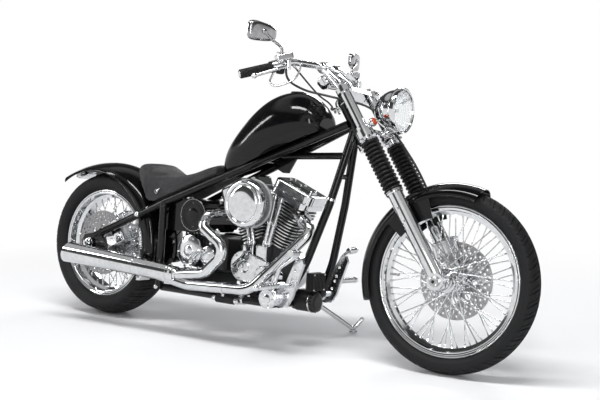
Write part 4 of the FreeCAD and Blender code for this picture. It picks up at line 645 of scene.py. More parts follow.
def makeGaiters():
    # radius is the outer size less a raised cosine dip, flattened at the crests; turned round each leg
    g = gaiterSettings
    way = np.linspace(0, 1, g["ribs"] * 12 + 1)
    wave = ripple(way * g["ribs"])
    radius = g["outer"] - g["dip"] * (1 - wave ** 0.7)
    height = g["low"] + 4 + way * (g["high"] - g["low"] - 8)
    height = np.concatenate([[g["low"] + 1, g["low"] + 1, g["low"] + 4], height,
                             [g["high"] - 1, g["high"] - 1]])
    radius = np.concatenate([[g["inner"], 34, 34], radius, [31, g["inner"]]])
    profile = np.stack([height, radius], -1)
    legs = [turn(profile, legPoint(0, 0, side * bike["legY"]), legUp, 64) for side in (1, -1)]
    piece = putForm("gaiterBellows", legs, "gaiterRubber", "steering", 60)
    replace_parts(piece, "fork_gaiters")
    bands = [turn([(at - 3, 30.5), (at - 3, 34.9), (at + 3, 34.9), (at + 3, 30.5)], legPoint(
        0, 0, side * bike["legY"]), legUp, 48) for side in (1, -1) for at in (375, 595)]
    putForm("gaiterBands", bands, "darkChrome", "steering")


makeGaiters()
print("gaiters ready")


seatSettings = {
    "rows": [  # x, underside above the rails, top, half width
        (203, 190, 672, 66), (228, 160, 704, 98), (282, 84, 699, 124),
        (336, 22, 673, 133), (400, 7, 649, 136), (520, 7, 667, 126),
        (610, 7, 697, 110), (672, 7, 716, 96)],
    "voxel": 0.005, "pressure": 4, "frames": 20, "mostMove": 0.005, "creaseX": 318,
    "aboveRail": 17.6,
}


def seatForm():
    # each cross section is a superellipse arch on a flat base, its sizes splined along the machine
    s = seatSettings
    x, under, top, half = throughPoints(s["rows"], 6).T[..., None]
    bottom = railHeight(x) + s["aboveRail"] + under
    top = top - 7 * np.exp(-((x - s["creaseX"]) / 9) ** 2)
    turns = np.linspace(0, np.pi, 25)
    y = half * np.sign(np.cos(turns)) * np.abs(np.cos(turns)) ** 0.52
    z = bottom + (top - bottom) * np.sin(turns) ** 0.36
    points = np.stack([np.repeat(x, 25, 1), y, z], -1)
    return shell(points, (points[0].mean(0), points[-1].mean(0)))


def meshPoints(mesh):
    points = np.empty(len(mesh.vertices) * 3)
    mesh.vertices.foreach_get("co", points)
    return points.reshape(-1, 3)


def applyModifiers(piece):
    evaluated = piece.evaluated_get(bpy.context.evaluated_depsgraph_get())
    mesh = bpy.data.meshes.new_from_object(evaluated)
    piece.modifiers.clear()
    old = piece.data
    piece.data = mesh
    bpy.data.meshes.remove(old)


def makeSeat():
    # the arch is remeshed, inflated by a cloth with its underside pinned, capped, and smoothed once
    s = seatSettings
    seat = putForm("seatCushion", seatForm(), "hide", sharp=180)
    remesh = seat.modifiers.new("even", "REMESH")
    remesh.mode = "VOXEL"
    remesh.voxel_size = s["voxel"]
    applyModifiers(seat)
    start = meshPoints(seat.data)
    upright = (start - stancePlace) @ stanceMatrix * 1000
    floor = railHeight(upright[:, 0]) + s["aboveRail"]
    crease = np.exp(-((upright[:, 0] - s["creaseX"]) / 7) ** 2)
    hold = np.clip(np.maximum(1 - (upright[:, 2] - floor - 8) / 22, crease), 0, 1)
    group = seat.vertex_groups.new(name="held")
    for level in range(1, 11):
        chosen = np.nonzero(np.round(hold * 10) == level)[0]
        group.add(chosen.tolist(), level / 10, "REPLACE")
    cloth = seat.modifiers.new("swell", "CLOTH")
    cloth.settings.use_pressure = True
    cloth.settings.uniform_pressure_force = s["pressure"]
    cloth.settings.effector_weights.gravity = 0
    cloth.settings.vertex_group_mass = "held"
    cloth.settings.quality = 4
    for step in range(1, s["frames"] + 1):
        scene.frame_set(step)
    evaluated = seat.evaluated_get(bpy.context.evaluated_depsgraph_get())
    moved = meshPoints(evaluated.data)
    move = moved - start
    size = np.linalg.norm(move, axis=1)[:, None]
    moved = start + move * np.minimum(1, s["mostMove"] / np.maximum(size, 1e-9))
    seat.modifiers.clear()
    scene.frame_set(1)
    seat.data.vertices.foreach_set("co", moved.ravel())
    smooth = seat.modifiers.new("even", "SMOOTH")
    smooth.factor = 0.5
    smooth.iterations = 4
    finer = seat.modifiers.new("finer", "SUBSURF")
    finer.levels = finer.render_levels = 1
    applyModifiers(seat)
    seat.data.polygons.foreach_set("use_smooth", np.ones(len(seat.data.polygons), bool))
    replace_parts(seat, "seat")
    return seat


seatPiece = makeSeat()
print("seat ready:", len(seatPiece.data.polygons), "faces")


headlightSettings = {"centre": xyz(1493, 0, 967), "radius": 89, "glassRadius": 79, "flutes": 15}


def makeHeadlight():
    # bucket: a splined bullet profile turned round the beam; reflector: a paraboloid; glass: a fluted dome
    s = headlightSettings
    lens, mouth, glass = s["centre"], s["radius"], s["glassRadius"]
    outer = throughPoints([(-118, 13), (-112, 32), (-94, 55), (-60, 75), (-26, 82.5)], 6)
    rim = [(-25, 86), (-20, 88.4), (-12, mouth), (-4, mouth - 0.4), (0.5, 87), (2, 84), (0, 81),
           (-2, 79.4), (-6, 79)]
    inner = throughPoints([(-24, 79.5), (-60, 72), (-94, 52), (-112, 26), (-114.5, 12)], 6)
    bucket = turn(np.vstack([[(-120, 6)], outer, rim, inner, [(-116, 6)]]), lens, forward, 96)
    tip = turn([(-121, 0), (-121, 5), (-119, 9), (-112, 9), (-112, 0)], lens, forward, 32)
    foot = legPoint(626, 20, 0)
    top = lens - forward * 46 - up * (mouth - 14)
    way = unit(top - foot)
    length = np.linalg.norm(top - foot)
    post = turn([(0, 0), (0, 16), (14, 16), (18, 10), (length - 22, 10), (length - 18, 14),
                 (length - 6, 15), (length + 6, 15), (length + 8, 0)], foot, way, 40)
    saddle = roundedBox((46, 34, 15), top + up * 1.5, up, forward, 6)
    bolt = turn([(-26, 0), (-26, 5), (-23, 7.5), (-18, 7.5), (-18, 4), (18, 4), (18, 7.5), (23, 7.5),
                 (26, 5), (26, 0)], top - up * 1, left, 12)
    housing = putForm("headlightShell", [bucket, tip, post, saddle, bolt], "chrome", "steering", 40)
    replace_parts(housing, "headlight")
    r = np.linspace(0, 1, 22)[1:]
    bowl = np.stack([-64 + 56 * r ** 2, r * (glass - 0.6)], -1)
    bowl = np.vstack([[(-64, 0)], bowl,
                      np.stack([-65.5 + 56 * r[::-1] ** 2, r[::-1] * (glass - 0.6)], -1), [(-65.5, 0)]])
    putForm("headlightReflector", turn(bowl[::-1], lens, forward, 72), "reflector", "steering", 60)
    bulb = turn([(-66, 0), (-66, 13), (-58, 13), (-56, 8), (-50, 7), (-34, 7), (-28, 5), (-26, 0)], lens,
                forward, 24)
    shade = turn([(-29, 0), (-32, 7.4), (-36, 8), (-36, 9), (-32, 9), (-28, 7), (-27, 0)], lens, forward,
                 24)
    putForm("headlightBulb", bulb, "porcelain", "steering")
    putForm("headlightShade", shade, "chrome", "steering")
    rows, columns = 40, 96
    radius = np.linspace(0, 1, rows + 1)[1:, None] * (glass - 0.8)
    angle = np.linspace(0, 2 * np.pi, columns + 1)[None, :-1]
    y, z = radius * np.cos(angle), radius * np.sin(angle)
    front = 5.5 - 8.5 * (radius / glass) ** 2 + 0 * y
    flute = 0.9 * np.abs(np.sin(np.pi * y / s["flutes"])) * (radius < glass - 6)
    back = front - 3 - flute
    rings = np.vstack([np.stack([back, y, z], -1), np.stack([front, y, z], -1)[::-1]])
    points, faces = shell(rings, ([2.5, 0, 0], [5.5, 0, 0]))
    putForm("headlightGlass", (points + lens, faces), "clearGlass", "steering", 50)


makeHeadlight()
print("headlight ready")


def controlRoute(side):
    # from the lever's or the throttle's housing to the ring behind the upper clamp
    return [(1122, side * 226, 1104), (1127, side * 182, 1079), (1136, side * 132, 1048),
            (1151, side * 66, 1007), legPoint(850, -112, side * 16), legPoint(810, -112, side * 16)]


cordSettings = {  # radius and route in upright millimetres, real length in metres, stiffness
    "brakeHose": {"radius": 4.5, "length": 1.055, "stiffness": "medium", "route": [
        (1118, -262, 1112), (1082, -237, 1060), (1120, -150, 1022), (1190, -112, 1010), (1246, -84, 1000),
        legPoint(740, 40, -40), legPoint(676, 46, 0), legPoint(610, 52, 40), legPoint(540, 51, 66),
        legPoint(470, 50, 88), legPoint(330, 44, 94), legPoint(232, 44, 74), legPoint(150, 24, 52)]},
    "clutchCable": {"radius": 3.5, "length": 0.29, "stiffness": "stiff", "route": controlRoute(1)},
    "throttleCable": {"radius": 3.5, "length": 0.29, "stiffness": "stiff", "route": controlRoute(-1)},
    "lampWire": {"radius": 2.5, "length": 0.128, "stiffness": "limp", "route": [
        legPoint(652, 62, -105), legPoint(640, 82, -82), legPoint(652, 93, -66),
        legPoint(676, 96, -40), (1412, -20, 930)]},
}


def makeCords():
    # each is one clamped spline of order 3 through its route's control points
    for name, s in cordSettings.items():
        curve = bpy.data.curves.new(name, "CURVE")
        curve.dimensions = "3D"
        curve.bevel_depth = s["radius"] / 1000
        curve.bevel_resolution = 3
        curve.resolution_u = 10
        curve.use_fill_caps = True
        places = onFork(s["route"])
        spline = curve.splines.new("NURBS")
        spline.points.add(len(places) - 1)
        spline.points.foreach_set("co", np.column_stack([places, np.ones(len(places))]).ravel())
        spline.order_u = 3
        spline.use_endpoint_u = True
        curve.materials.append(finish["hose"])
        cord = addObject(name, curve)
        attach(cord, "steering")
        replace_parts(cord, "cables")


def makeCordEnds():
    # the ring that gathers the two control cables behind the upper clamp, and a ferrule at each cord's end
    ring = turn([(-31, 0), (-31, 7.2), (-29, 8), (29, 8), (31, 7.2), (31, 0)], legPoint(826, -112, 0),
                left, 24)
    arm = tube([legPoint(826, -112, 0), legPoint(826, -80, 0)], 7, 20)
    ends = []
    for s in cordSettings.values():
        route, r = np.array(s["route"], float), s["radius"]
        ferrule = [(-4, r * 0.4), (-4, r + 1.6), (9, r + 1.6), (10, r + 0.9), (16, r + 0.9),
                   (18, r - 0.3)]
        ends += [turn(ferrule, route[here], route[there] - route[here], 20) for here,
                 there in ((0, 1), (-1, -2))]
    piece = putForm("cordFittings", [ring, arm] + ends, "chrome", "steering", 30)
    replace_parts(piece, "cables")


makeCords()
makeCordEnds()
print("cords ready")


def hexBolt(radius, height):
    # a hexagon head with a chamfered top and a flat dimple; its own z points out
    return turn([(-0.4, 0), (-0.4, radius), (height * 0.8, radius), (height, radius * 0.86),
                 (height, radius * 0.45), (height * 0.75, radius * 0.40), (height * 0.75, 0)], sides=6)


def domedBolt(radius, height):
    # a round socket head: a rounded rim and a sunk round socket
    return turn([(-0.4, 0), (-0.4, radius), (height * 0.75, radius), (height * 0.95, radius * 0.9),
                 (height, radius * 0.72), (height, radius * 0.5), (height * 0.55, radius * 0.46),
                 (height * 0.55, 0)], sides=14)


def boltsAt(places, direction, radius, height, kind=domedBolt):
    return repeatForm(kind(radius, height), np.atleast_2d(places), direction)


def circleOf(centre, direction, radius, count, turnBy=0):
    # evenly spaced places round a circle square to the direction
    first, second, _ = basisAlong(direction)
    angles = np.arange(count) * 2 * np.pi / count + turnBy
    return centre + radius * (np.cos(angles)[:, None] * first + np.sin(angles)[:, None] * second)


spokeSettings = {
    "front": {"centre": frontAxle, "rim": 280.5, "half": 30, "hub": 50, "flange": 44},
    "rear": {"centre": rearAxle, "rim": 242.5, "half": 62.5, "hub": 74, "flange": 52},
    "count": 60, "headShift": 0.16, "footShift": 4.54, "lean": math.radians(58),
}


def makeNipples():
    # a small square-ended sleeve on each spoke where it meets the rim, and a button head at the flange
    count = spokeSettings["count"]
    group = np.arange(count) % 4
    side = np.array([1, -1, 1, -1])[group]
    way = np.array([1, 1, -1, -1])[group]
    angle = np.arange(count) * 2 * np.pi / count
    around = angle + way * spokeSettings["lean"]
    sleeve = turn([(-13, 0), (-13, 2.9), (-11.5, 3.5), (3, 3.7), (4.5, 3.7), (4.5, 0)], sides=8)
    button = turn([(-4, 0), (-3.6, 2.6), (-1, 3.8), (1.5, 3.2), (1.5, 0)], sides=8)
    for label in ("front", "rear"):
        s = spokeSettings[label]
        head = s["centre"] + wheelPoint(s["rim"] - 32.8, side * spokeSettings["headShift"] * s["half"],
                                        angle)
        foot = s["centre"] + wheelPoint(s["flange"] - 5,
                                        side * (s["hub"] - 12 + way * spokeSettings["footShift"]), around)
        inward = np.outer(side * way, left)
        forms = [repeatForm(sleeve, head, unit(head - foot)), repeatForm(button, foot, inward)]
        putForm(label + "SpokeNipples", forms, "chrome", label + "_wheel", 40)
        valve = turn([(-6, 0), (-6, 6), (0, 6), (3, 4.2), (20, 4.2), (20, 3.4), (30, 3.4), (30, 5),
                      (38, 5), (39, 4.2), (39, 0)], s["centre"] - forward * (s["rim"] - 30), forward, 16)
        putForm(label + "ValveStem", valve, "darkChrome", label + "_wheel", 40)


makeNipples()
print("spoke nipples ready")


def shapedPlate(outline, profile, start, direction, guide=None):
    # rings of a flat outline (n, 2), each at its own height and drawn in by its own amount, closed by fans
    outline = np.asarray(outline, float)
    middle = outline.mean(0)
    size = np.abs(outline - middle).max()
    rings = np.stack([np.column_stack([middle + (outline - middle) * (1 - inset / size),
                                       np.full(len(outline), z)]) for z, inset in profile])
    return setDown(shell(rings, [[*middle, profile[k][0]] for k in (0, -1)]), start, direction, guide)


def roundBar(start, end, radius, sides=24, lip=None):
    # a straight bar with chamfered ends
    start, end = np.asarray(start, float), np.asarray(end, float)
    length = np.linalg.norm(end - start)
    lip = min(radius * 0.2, length * 0.2) if lip is None else lip
    return turn([(0, 0), (0, radius - lip), (lip, radius), (length - lip, radius), (length, radius - lip),
                 (length, 0)], start, end - start, sides)


def bead(start, direction, radius, thick, sides=48, rings=8):
    # a round bead lying in a circle: a small circle turned about the axis
    angles = np.linspace(0, 2 * np.pi, rings + 1)[:-1]
    return turn(np.stack([thick * np.sin(angles), radius + thick * np.cos(angles)], -1), start, direction,
                sides)


markerSettings = {"at": 652, "band": 26.5, "housing": 17, "lens": 15.6}


def makeMarkers():
    m = markerSettings
    bright, amber = [], []
    for side in (1, -1):
        root = legPoint(m["at"], 0, side * bike["legY"])
        bright += [turn([(-9, 20.6), (-9, 25.5), (-8, m["band"]), (8, m["band"]), (9, 25.5), (9, 20.6)],
                        root, legUp, 48),
                   turn([(22, 0), (22, 5), (24, 7), (28, 5), (38, 5), (38, 0)], root, legFront, 20),
                   turn([(34, 0), (34, 8), (38, 14), (43, m["housing"]), (50, m["housing"]), (52, 16),
                         (50, 15.7), (44, 15.7), (42, 0)], root, legFront, 40)]
        amber.append(turn([(44, 0), (44, m["lens"] - 0.3), (52, m["lens"]), (57, 14.6), (61, 11),
                           (63.5, 5.5), (64, 0)], root, legFront, 40))
        bright.append(boltsAt([root + left * side * 26], left * side, 4, 4))
    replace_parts(putForm("markerLampBodies", bright, "chrome", "steering"), "marker_lamps")
    putForm("markerLampLenses", amber, "amberLens", "steering", 50)


def barEnds(side):
    # the handlebar's end on one side and the way from it into the grip
    end = xyz(994, side * 388, 1048)
    return end, unit(xyz(1122, side * 232, 1118) - end)


mirrorSettings = {"x": 1052, "y": 352, "z": 1214, "halfLong": 68, "halfHigh": 42, "turn": 0.28}


def makeMirrors():
    # the head's outline is a squared-off superellipse, taller at its outer end; its back is domed in steps
    m = mirrorSettings
    shells, glasses = [], []
    for side in (1, -1):
        facing = np.cross(up, unit(xyz(m["turn"] * side, -1, 0)))
        facing = -facing * np.sign(facing[0])  # the glass faces the rear
        centre = xyz(m["x"], side * m["y"], m["z"])
        t = np.linspace(0, 2 * np.pi, 57)[:-1]
        cosine, sine = np.cos(t), np.sin(t)
        across = m["halfLong"] * np.sign(sine) * np.abs(sine) ** 0.55
        outer = np.sign(np.cross(facing, up) @ left) * side * across / m["halfLong"]
        high = m["halfHigh"] * (0.84 + 0.16 * outer) * np.sign(cosine) * np.abs(cosine) ** 0.55
        outline = np.stack([high, across], -1)
        back = [(-11, 26), (-10.4, 18), (-8.6, 10), (-5, 4), (0, 1), (6, 0.2), (9.5, 0), (11, 1.2),
                (11, 4.5), (8.6, 5.2)]
        shells.append(shapedPlate(outline, back, centre, facing, up))
        glasses.append(shapedPlate(outline, [(8, 5.6), (9.6, 5.4), (10, 6.2)], centre, facing, up))
        end, inward = barEnds(side)
        root = end + inward * 162 + up * 40
        tip = centre - facing * 11
        way = unit(tip - root)
        stem = throughPoints([root, root + up * 22 + way * 6, root + 0.55 * (tip - root) + up * 7, tip],
                             8)
        shells += [tube(stem, np.linspace(6, 4.8, len(stem)), 16),
                   turn([(-8, 0), (-8, 9), (-6, 10), (4, 10), (6, 8), (8, 6.4), (8, 0)], root, up, 6),
                   turn([(-7, 0), (-7, 6), (-5, 9), (0, 11), (5, 11.5), (9, 10), (11, 6), (11, 0)], tip,
                        facing, 24)]
    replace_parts(putForm("mirrorShells", shells, "darkChrome", "steering", 40, slot="chrome"), "mirrors")
    putForm("mirrorGlasses", glasses, "mirrorGlass", "steering", 30)


dialSettings = {
    "at": xyz(1135, 0, 1082), "facing": (-0.62, 0, 0.78), "half": math.radians(126), "steps": 60,
    "top": 120, "numberSize": 6.4, "tickEnd": 31.5, "numberRadius": 20,
}


def dialPlace(angle, radius, height):
    # a place on the dial and its way out from the middle; the angle runs clockwise for the rider
    upDial, leftDial, axis = basisAlong(dialSettings["facing"], up)
    angle = np.asarray(angle)[..., None]
    flat = np.cos(angle) * upDial - np.sin(angle) * leftDial
    return dialSettings["at"] + axis * height + flat * np.asarray(radius)[..., None], flat


def makeTicks(axis):
    # a flat bar for each step: a long wide one at every tenth, a middling one at every fifth
    d = dialSettings
    step = np.arange(d["steps"] + 1)
    inner = np.where(step % 10 == 0, 24.8, np.where(step % 5 == 0, 27, 28.8))
    width = np.where(step % 10 == 0, 0.8, 0.4)[:, None, None]
    half = (d["tickEnd"] - inner)[:, None, None] / 2
    centres, flat = dialPlace((2 * step / d["steps"] - 1) * d["half"], (inner + d["tickEnd"]) / 2, 0.32)
    along, across = np.array([(-1, -1), (1, -1), (1, 1), (-1, 1)]).T[:, None, :, None]
    base = centres[:, None] + along * flat[:, None] * half + across * np.cross(
        axis, flat)[:, None] * width
    base = base.reshape(-1, 3)
    quads = np.arange(len(base)).reshape(-1, 4)
    after = np.roll(quads, -1, 1)
    sides = np.stack([quads, after, after + len(base), quads + len(base)], -1).reshape(-1, 4)
    return np.vstack([base, base + axis * 0.25]), [quads[:, ::-1], quads + len(base), sides]


def makeNumber(value, turnInto):
    # a number's outline as a form, its letters' own axes turned into the dial's
    lettering = bpy.data.curves.new("number", "FONT")
    lettering.body = str(value)
    lettering.size = 1
    lettering.extrude = 0.02
    lettering.align_x = lettering.align_y = "CENTER"
    holder = bpy.data.objects.new("number", lettering)
    mesh = bpy.data.meshes.new_from_object(holder)
    spot, _ = dialPlace((2 * value / dialSettings["top"] - 1) * dialSettings["half"],
                        dialSettings["numberRadius"], 0.40)
    form = (meshPoints(mesh) * dialSettings["numberSize"] @ turnInto
            + spot, [np.array([polygon.vertices[:]]) for polygon in mesh.polygons])
    bpy.data.meshes.remove(mesh)
    bpy.data.objects.remove(holder)
    bpy.data.curves.remove(lettering)
    return form


def makeDial():
    d = dialSettings
    at, foot = d["at"], legPoint(836, -30, 0)
    upDial, leftDial, axis = basisAlong(d["facing"], up)
    case = turn([(-34, 0), (-34, 17), (-31, 20), (-28, 29), (-24, 34), (-16, 37), (-2, 38.6), (0, 40),
                 (8, 40), (10, 38.6), (10.4, 36), (8.5, 34.6), (3, 34.6), (0, 34.2), (-1, 0)], at, axis,
                72)
    start = at - axis * 30
    arm = tube(throughPoints([start, start - axis * 8, foot + up * 24 + forward * 4, foot], 8), 7.5, 20)
    nut = turn([(-36, 0), (-36, 10), (-34, 12), (-28, 12), (-28, 0)], at, axis, 6)
    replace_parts(putForm("speedometerCase", [case, arm, nut], "chrome", "steering"), "speedometer")
    face = turn([(-0.9, 0), (-0.9, 34.2), (0.2, 34), (0.2, 0)], at, axis, 64)
    putForm("speedometerFace", face, "dialBlack", "steering")
    putForm("speedometerTicks", makeTicks(axis), "dialWhite", "steering", 30)
    putForm("speedometerRing", bead(at + axis * 0.3, axis, 32.6, 0.35, 72, 6), "dialWhite", "steering",
            60)
    numbers = [makeNumber(value, np.stack([-leftDial, upDial, axis]))
               for value in range(0, d["top"] + 1, 20)]
    putForm("speedometerNumbers", numbers, "dialWhite", "steering", 30)
    tip, flat = dialPlace(-d["half"], 25, 1.6)
    tail = at + axis * 1.6 - flat * 6
    section = np.array([(-0.25, -1), (0.25, -1), (0.25, 1),
                        (-0.25, 1)]) * np.linspace(1, 0.35, 6)[:, None, None]
    needle = sweep(np.linspace(tail, tip, 6), section, guide=axis)
    hub = turn([(0.2, 0), (0.2, 3.6), (2.4, 3.6), (3, 2.8), (3, 0)], at, axis, 24)
    putForm("speedometerNeedle", [needle, hub], "dialRed", "steering", 30)
    glass = turn([(5.6, 0), (5.6, 34.2), (7, 34.2), (8, 24), (8.6, 12), (8.8, 0)], at, axis, 64)
    putForm("speedometerGlass", glass, "clearGlass", "steering", 30)


gripSettings = {"ribs": 22, "radius": 18, "dip": 1.5, "bore": 12.85}


def makeGrips():
    # ribs are a raised cosine on the radius; a flange at the inner end and a chrome cap at the outer one
    g = gripSettings
    sleeves, caps = [], []
    for side in (1, -1):
        end, inward = barEnds(side)
        foot = end - inward * 6
        z = np.linspace(8, 118, g["ribs"] * 8 + 1)
        wave = ripple((z - 8) / 110 * g["ribs"])
        body = np.stack([z, g["radius"] - g["dip"] * (1 - wave ** 0.5)], -1)
        profile = np.vstack([[(0.4, g["bore"]), (0.4, 13), (3, 17.2), (5, 17.9)], body, [
            (122, 18), (124, 21.4), (126, 22), (129, 22), (130, 21.4), (130, g["bore"])]])
        sleeves.append(turn(profile, foot, inward, 48))
        caps.append(turn([(-1.2, 0), (-1, 7), (0.2, 10.5), (2, 12.2), (7, 12.6), (7, 0)], foot, inward,
                         40))
    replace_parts(putForm("gripSleeves", sleeves, "mouldedRubber", "steering", 50), "grips")
    putForm("gripCaps", caps, "chrome", "steering")


def makeForkTrim():
    bright, dull = [], []
    for side in (1, -1):
        y = side * bike["legY"]
        bright += [turn([(850, 0), (850, 15.5), (851.5, 16.5), (858, 16.5),
                         (860, 14.5), (860, 7), (857, 6.5), (857, 0)], frontAxle + left * y, legUp, 6),
                   turn([(366, 30), (366, 32.5), (368, 33.4), (373, 33.4), (375, 32.4), (375, 30)],
                        frontAxle + left * y, legUp, 48)]
        dull += [boltsAt([legPoint(at, 34, y + side * 10) for at in (618, 634)], legFront, 5.5, 5),
                 boltsAt([legPoint(at, 32, y + side * 10) for at in (821, 831)], legFront, 4.5, 4),
                 boltsAt([legPoint(at, 12, y + side * 28) for at in (-20, 22)], left * side, 5, 5,
                         hexBolt), boltsAt([legPoint(at, 0, y + side * 27) for at in (252, 306)],
                                           left * side, 5.5, 4.5, hexBolt)]
        bright += [bead(frontAxle + left * side * 152.6, left, 15.5, 1.6, 40),
                   roundBar(legPoint(838, -30, side * 72), xyz(1148, side * 72, 1122), 7, 20),
                   turn([(-6, 12.8), (-6, 18), (-5, 19), (5, 19), (6, 18), (6, 12.8)],
                        xyz(1150, side * 72, 1122), left, 40)]
        dull.append(boltsAt([xyz(1150 + shift, side * 46, 1144) for shift in (-9, 9)], up, 4.2, 4))
    bright.append(turn([(848, 0), (848, 13), (850, 14), (858, 14), (860, 12), (860, 6), (856, 5.5),
                        (856, 0)], legPoint(0, -60, 0), legUp, 6))
    putForm("forkTrim", bright, "chrome", "steering")
    putForm("forkBolts", dull, "darkChrome", "steering", 25)


def makeBarTrim():
    # clamp screws, switch pods, banjo bolt, lever pivots and the thin rod loop under the right-hand control
    bright, dark = [], []
    for side in (1, -1):
        end, inward = barEnds(side)
        housing = end + inward * 148
        base = housing + inward * 14
        lid = base + up * 43 + forward * 12
        tall = basisAlong(up, inward)
        corners = lid + np.array([(-28, -15), (28, -15), (28, 15), (-28, 15)]) @ tall[:2]
        bright += [boltsAt(corners, up, 3.4, 1.8), roundedBox((62, 36, 4), lid + up * 0.6, up, inward, 8),
                   turn([(14, 0), (14, 7), (16, 8.5), (20, 8.5), (21, 7), (21, 0)],
                        housing + inward * 8 + forward * 40 - up * 2, up, 24)]
        dark.append(roundedBox((30, 30, 30), housing + inward * 14 - up * 20, up, inward, 5))
        bright.append(boltsAt([housing + inward * 14 - up * 20 + forward * -16 + inward * shift
                               for shift in (-7, 7)], -forward, 4, 4))
        hang = [housing - inward * 12 - up * 20, housing - inward * 30 - up * 58 + forward * 6, housing
                - inward * 4 - up * 76 + forward * 14, housing + inward * 66 - up * 66 + forward * 10,
                housing + inward * 96 - up * 30 + forward * 2, housing + inward * 92 - up * 8]
        if side < 0:
            bright.append(tube(throughPoints(hang, 10), 4, 14))
        else:
            bright.append(turn([(-12, 0), (-12, 14), (-9, 15), (9, 15), (12, 14), (12, 0)],
                               housing + inward * 30 + up * 20, inward, 32))
    putForm("barTrim", bright, "chrome", "steering")
    putForm("barSwitches", dark, "mouldedRubber", "steering", 30)


def makeBrakeTrim():
    # each caliper's piston caps and bolts, then each disc's bolts and the raised rings on its hub
    for label, body, centre, angle, y, out in (("front", "steering", frontAxle, math.radians(
            24), 73, 1), ("rear", "chassis", rearAxle, math.radians(-62), -108, -1)):
        radial = xyz(-math.sin(angle), 0, math.cos(angle))
        along = xyz(math.cos(angle), 0, math.sin(angle))
        middle = centre + radial * 132 + left * y
        cap = [(-1, 0), (-1, 19), (2.5, 19), (4, 17.5), (4, 9), (3, 8.5), (3, 0)]
        forms = [turn(cap, middle + along * shift, left * out, 40) for shift in (-24, 24)]
        corners = [middle + along * a + radial * b for a in (-46, 46) for b in (-22, 22)]
        forms.append(boltsAt(corners, left * out, 4.4, 4))
        putForm(label + "CaliperTrim", forms, "chrome", body)
    for label, centre, y, out in (("front", frontAxle, 51, 1), ("rear", rearAxle, -75, -1)):
        forms = [boltsAt(circleOf(centre + left * y, left, 33, 5), left * out, 5, 4, hexBolt),
                 bead(centre + left * (y + out), left, 41, 1.6, 56)]
        if label == "front":
            forms.append(turn([(0, 20), (0, 40), (2.5, 43), (6, 43), (9, 40), (10, 32), (14, 28),
                               (15, 20)], centre - left * 49, -left, 56))
        putForm(label + "HubTrim", forms, "chrome", label + "_wheel")


makeMarkers()
makeMirrors()
makeDial()
makeGrips()
makeForkTrim()
makeBarTrim()
makeBrakeTrim()
print("front end ready")


engineSettings = {"camOuter": -112.2, "primaryOuter": 182}


def outlineRound(first, firstRadius, second, secondRadius, inset, count, y):
    # evenly spaced places inside the outline of two circles and their tangents, at one distance to the left
    a, b = np.asarray(first, float), np.asarray(second, float)
    length = np.linalg.norm(b - a)
    way = (b - a) / length
    side = np.array([-way[1], way[0]])
    tilt = math.acos((firstRadius - secondRadius) / length)
    rows = []
    for middle, radius, start, end in (
            (a, firstRadius - inset, tilt, 2 * math.pi - tilt), (b, secondRadius - inset, -tilt, tilt)):
        turned = np.linspace(start, end, 40)[:, None]
        rows.append(middle + radius * (np.cos(turned) * way + np.sin(turned) * side))
    length, placeAt = runAlong(np.vstack(rows + [rows[0][:1]]))
    return np.insert(placeAt(np.linspace(0, length, count + 1)[:-1]), 1, y, axis=1)


def makeRockerTrim():
    # screws round each rocker box and on its top, its gasket seam, and a breather fitting
    bright, dark = [], []
    for lean in (1, -1):
        way = cylinderWay(lean)
        base = np.array([cylinderPoint(lean, 345, along, y) for along in (-86, -30, 30, 86)
                         for y in (-73, 73)])
        bright.append(boltsAt(base, way, 4.6, 5.5))
        top = np.array([cylinderPoint(lean, 390.8, along, y) for along in (-56, 0, 56)
                        for y in (-16, 16)])
        bright.append(boltsAt(top, way, 4, 3.2))
        seam = [cylinderPoint(lean, 345.4, x, y) for x,
                y in [(-99, -40), (-99, 40), (-70, 68.6), (70, 68.6), (99, 40), (99, -40), (70, -68.6),
                      (-70, -68.6)]]
        dark.append(sweep(seam, circle(1.1, 6), closed=True))
        plug = cylinderPoint(lean, 292, lean * 46, -50)
        out = unit(xyz(lean * 0.35, -1, 0.30))
        bright.append(turn([(0, 0), (0, 12), (3, 13), (8, 13), (10, 11), (10, 0)], plug, out, 6))
        dark.append(turn([(9, 0), (9, 6.4), (12, 8.4), (34, 8.4), (37, 7.6), (40, 8.4), (48, 8),
                          (52, 5.4), (52, 0)], plug, out, 24))
    putForm("rockerScrews", bright, "chrome")
    putForm("rockerGaskets", dark, "mouldedRubber")


def makePushrodTrim():
    # spring-cap collars, clips and seals on the four pushrod tubes
    bright, dark = [], []
    for lean in (1, -1):
        for shift in (18, 52):
            foot = crank + xyz(lean * (18 + shift * 0.55), -72, 104)
            head = cylinderPoint(lean, 322.9, -lean * (78 - shift), -72)
            way = unit(head - foot)
            length = np.linalg.norm(head - foot)
            for share, size in ((0.06, 13), (0.46, 12.4), (0.93, 12)):
                at = foot + way * length * share
                bright.append(turn([(-7, 8), (-7, size - 1), (-5, size), (5, size), (7, size - 1),
                                    (7, 8)], at, way, 32))
                dark.append(bead(at - way * 8, way, 9, 1.6, 28, 6))
            clip = foot + way * length * 0.70
            bright.append(turn([(-10, 8), (-10, 9.4), (10, 9.4), (10, 8)], clip, way, 24))
        block = xyz(crank[0] + lean * 34, -103, crank[2] + 78)
        bright.append(boltsAt([block + xyz(a, 0, b) for a in (-20, 20) for b in (-24, 24)], -left, 4, 4.5,
                              hexBolt))
    putForm("pushrodCollars", bright, "chrome")
    putForm("pushrodSeals", dark, "mouldedRubber", sharp=60)


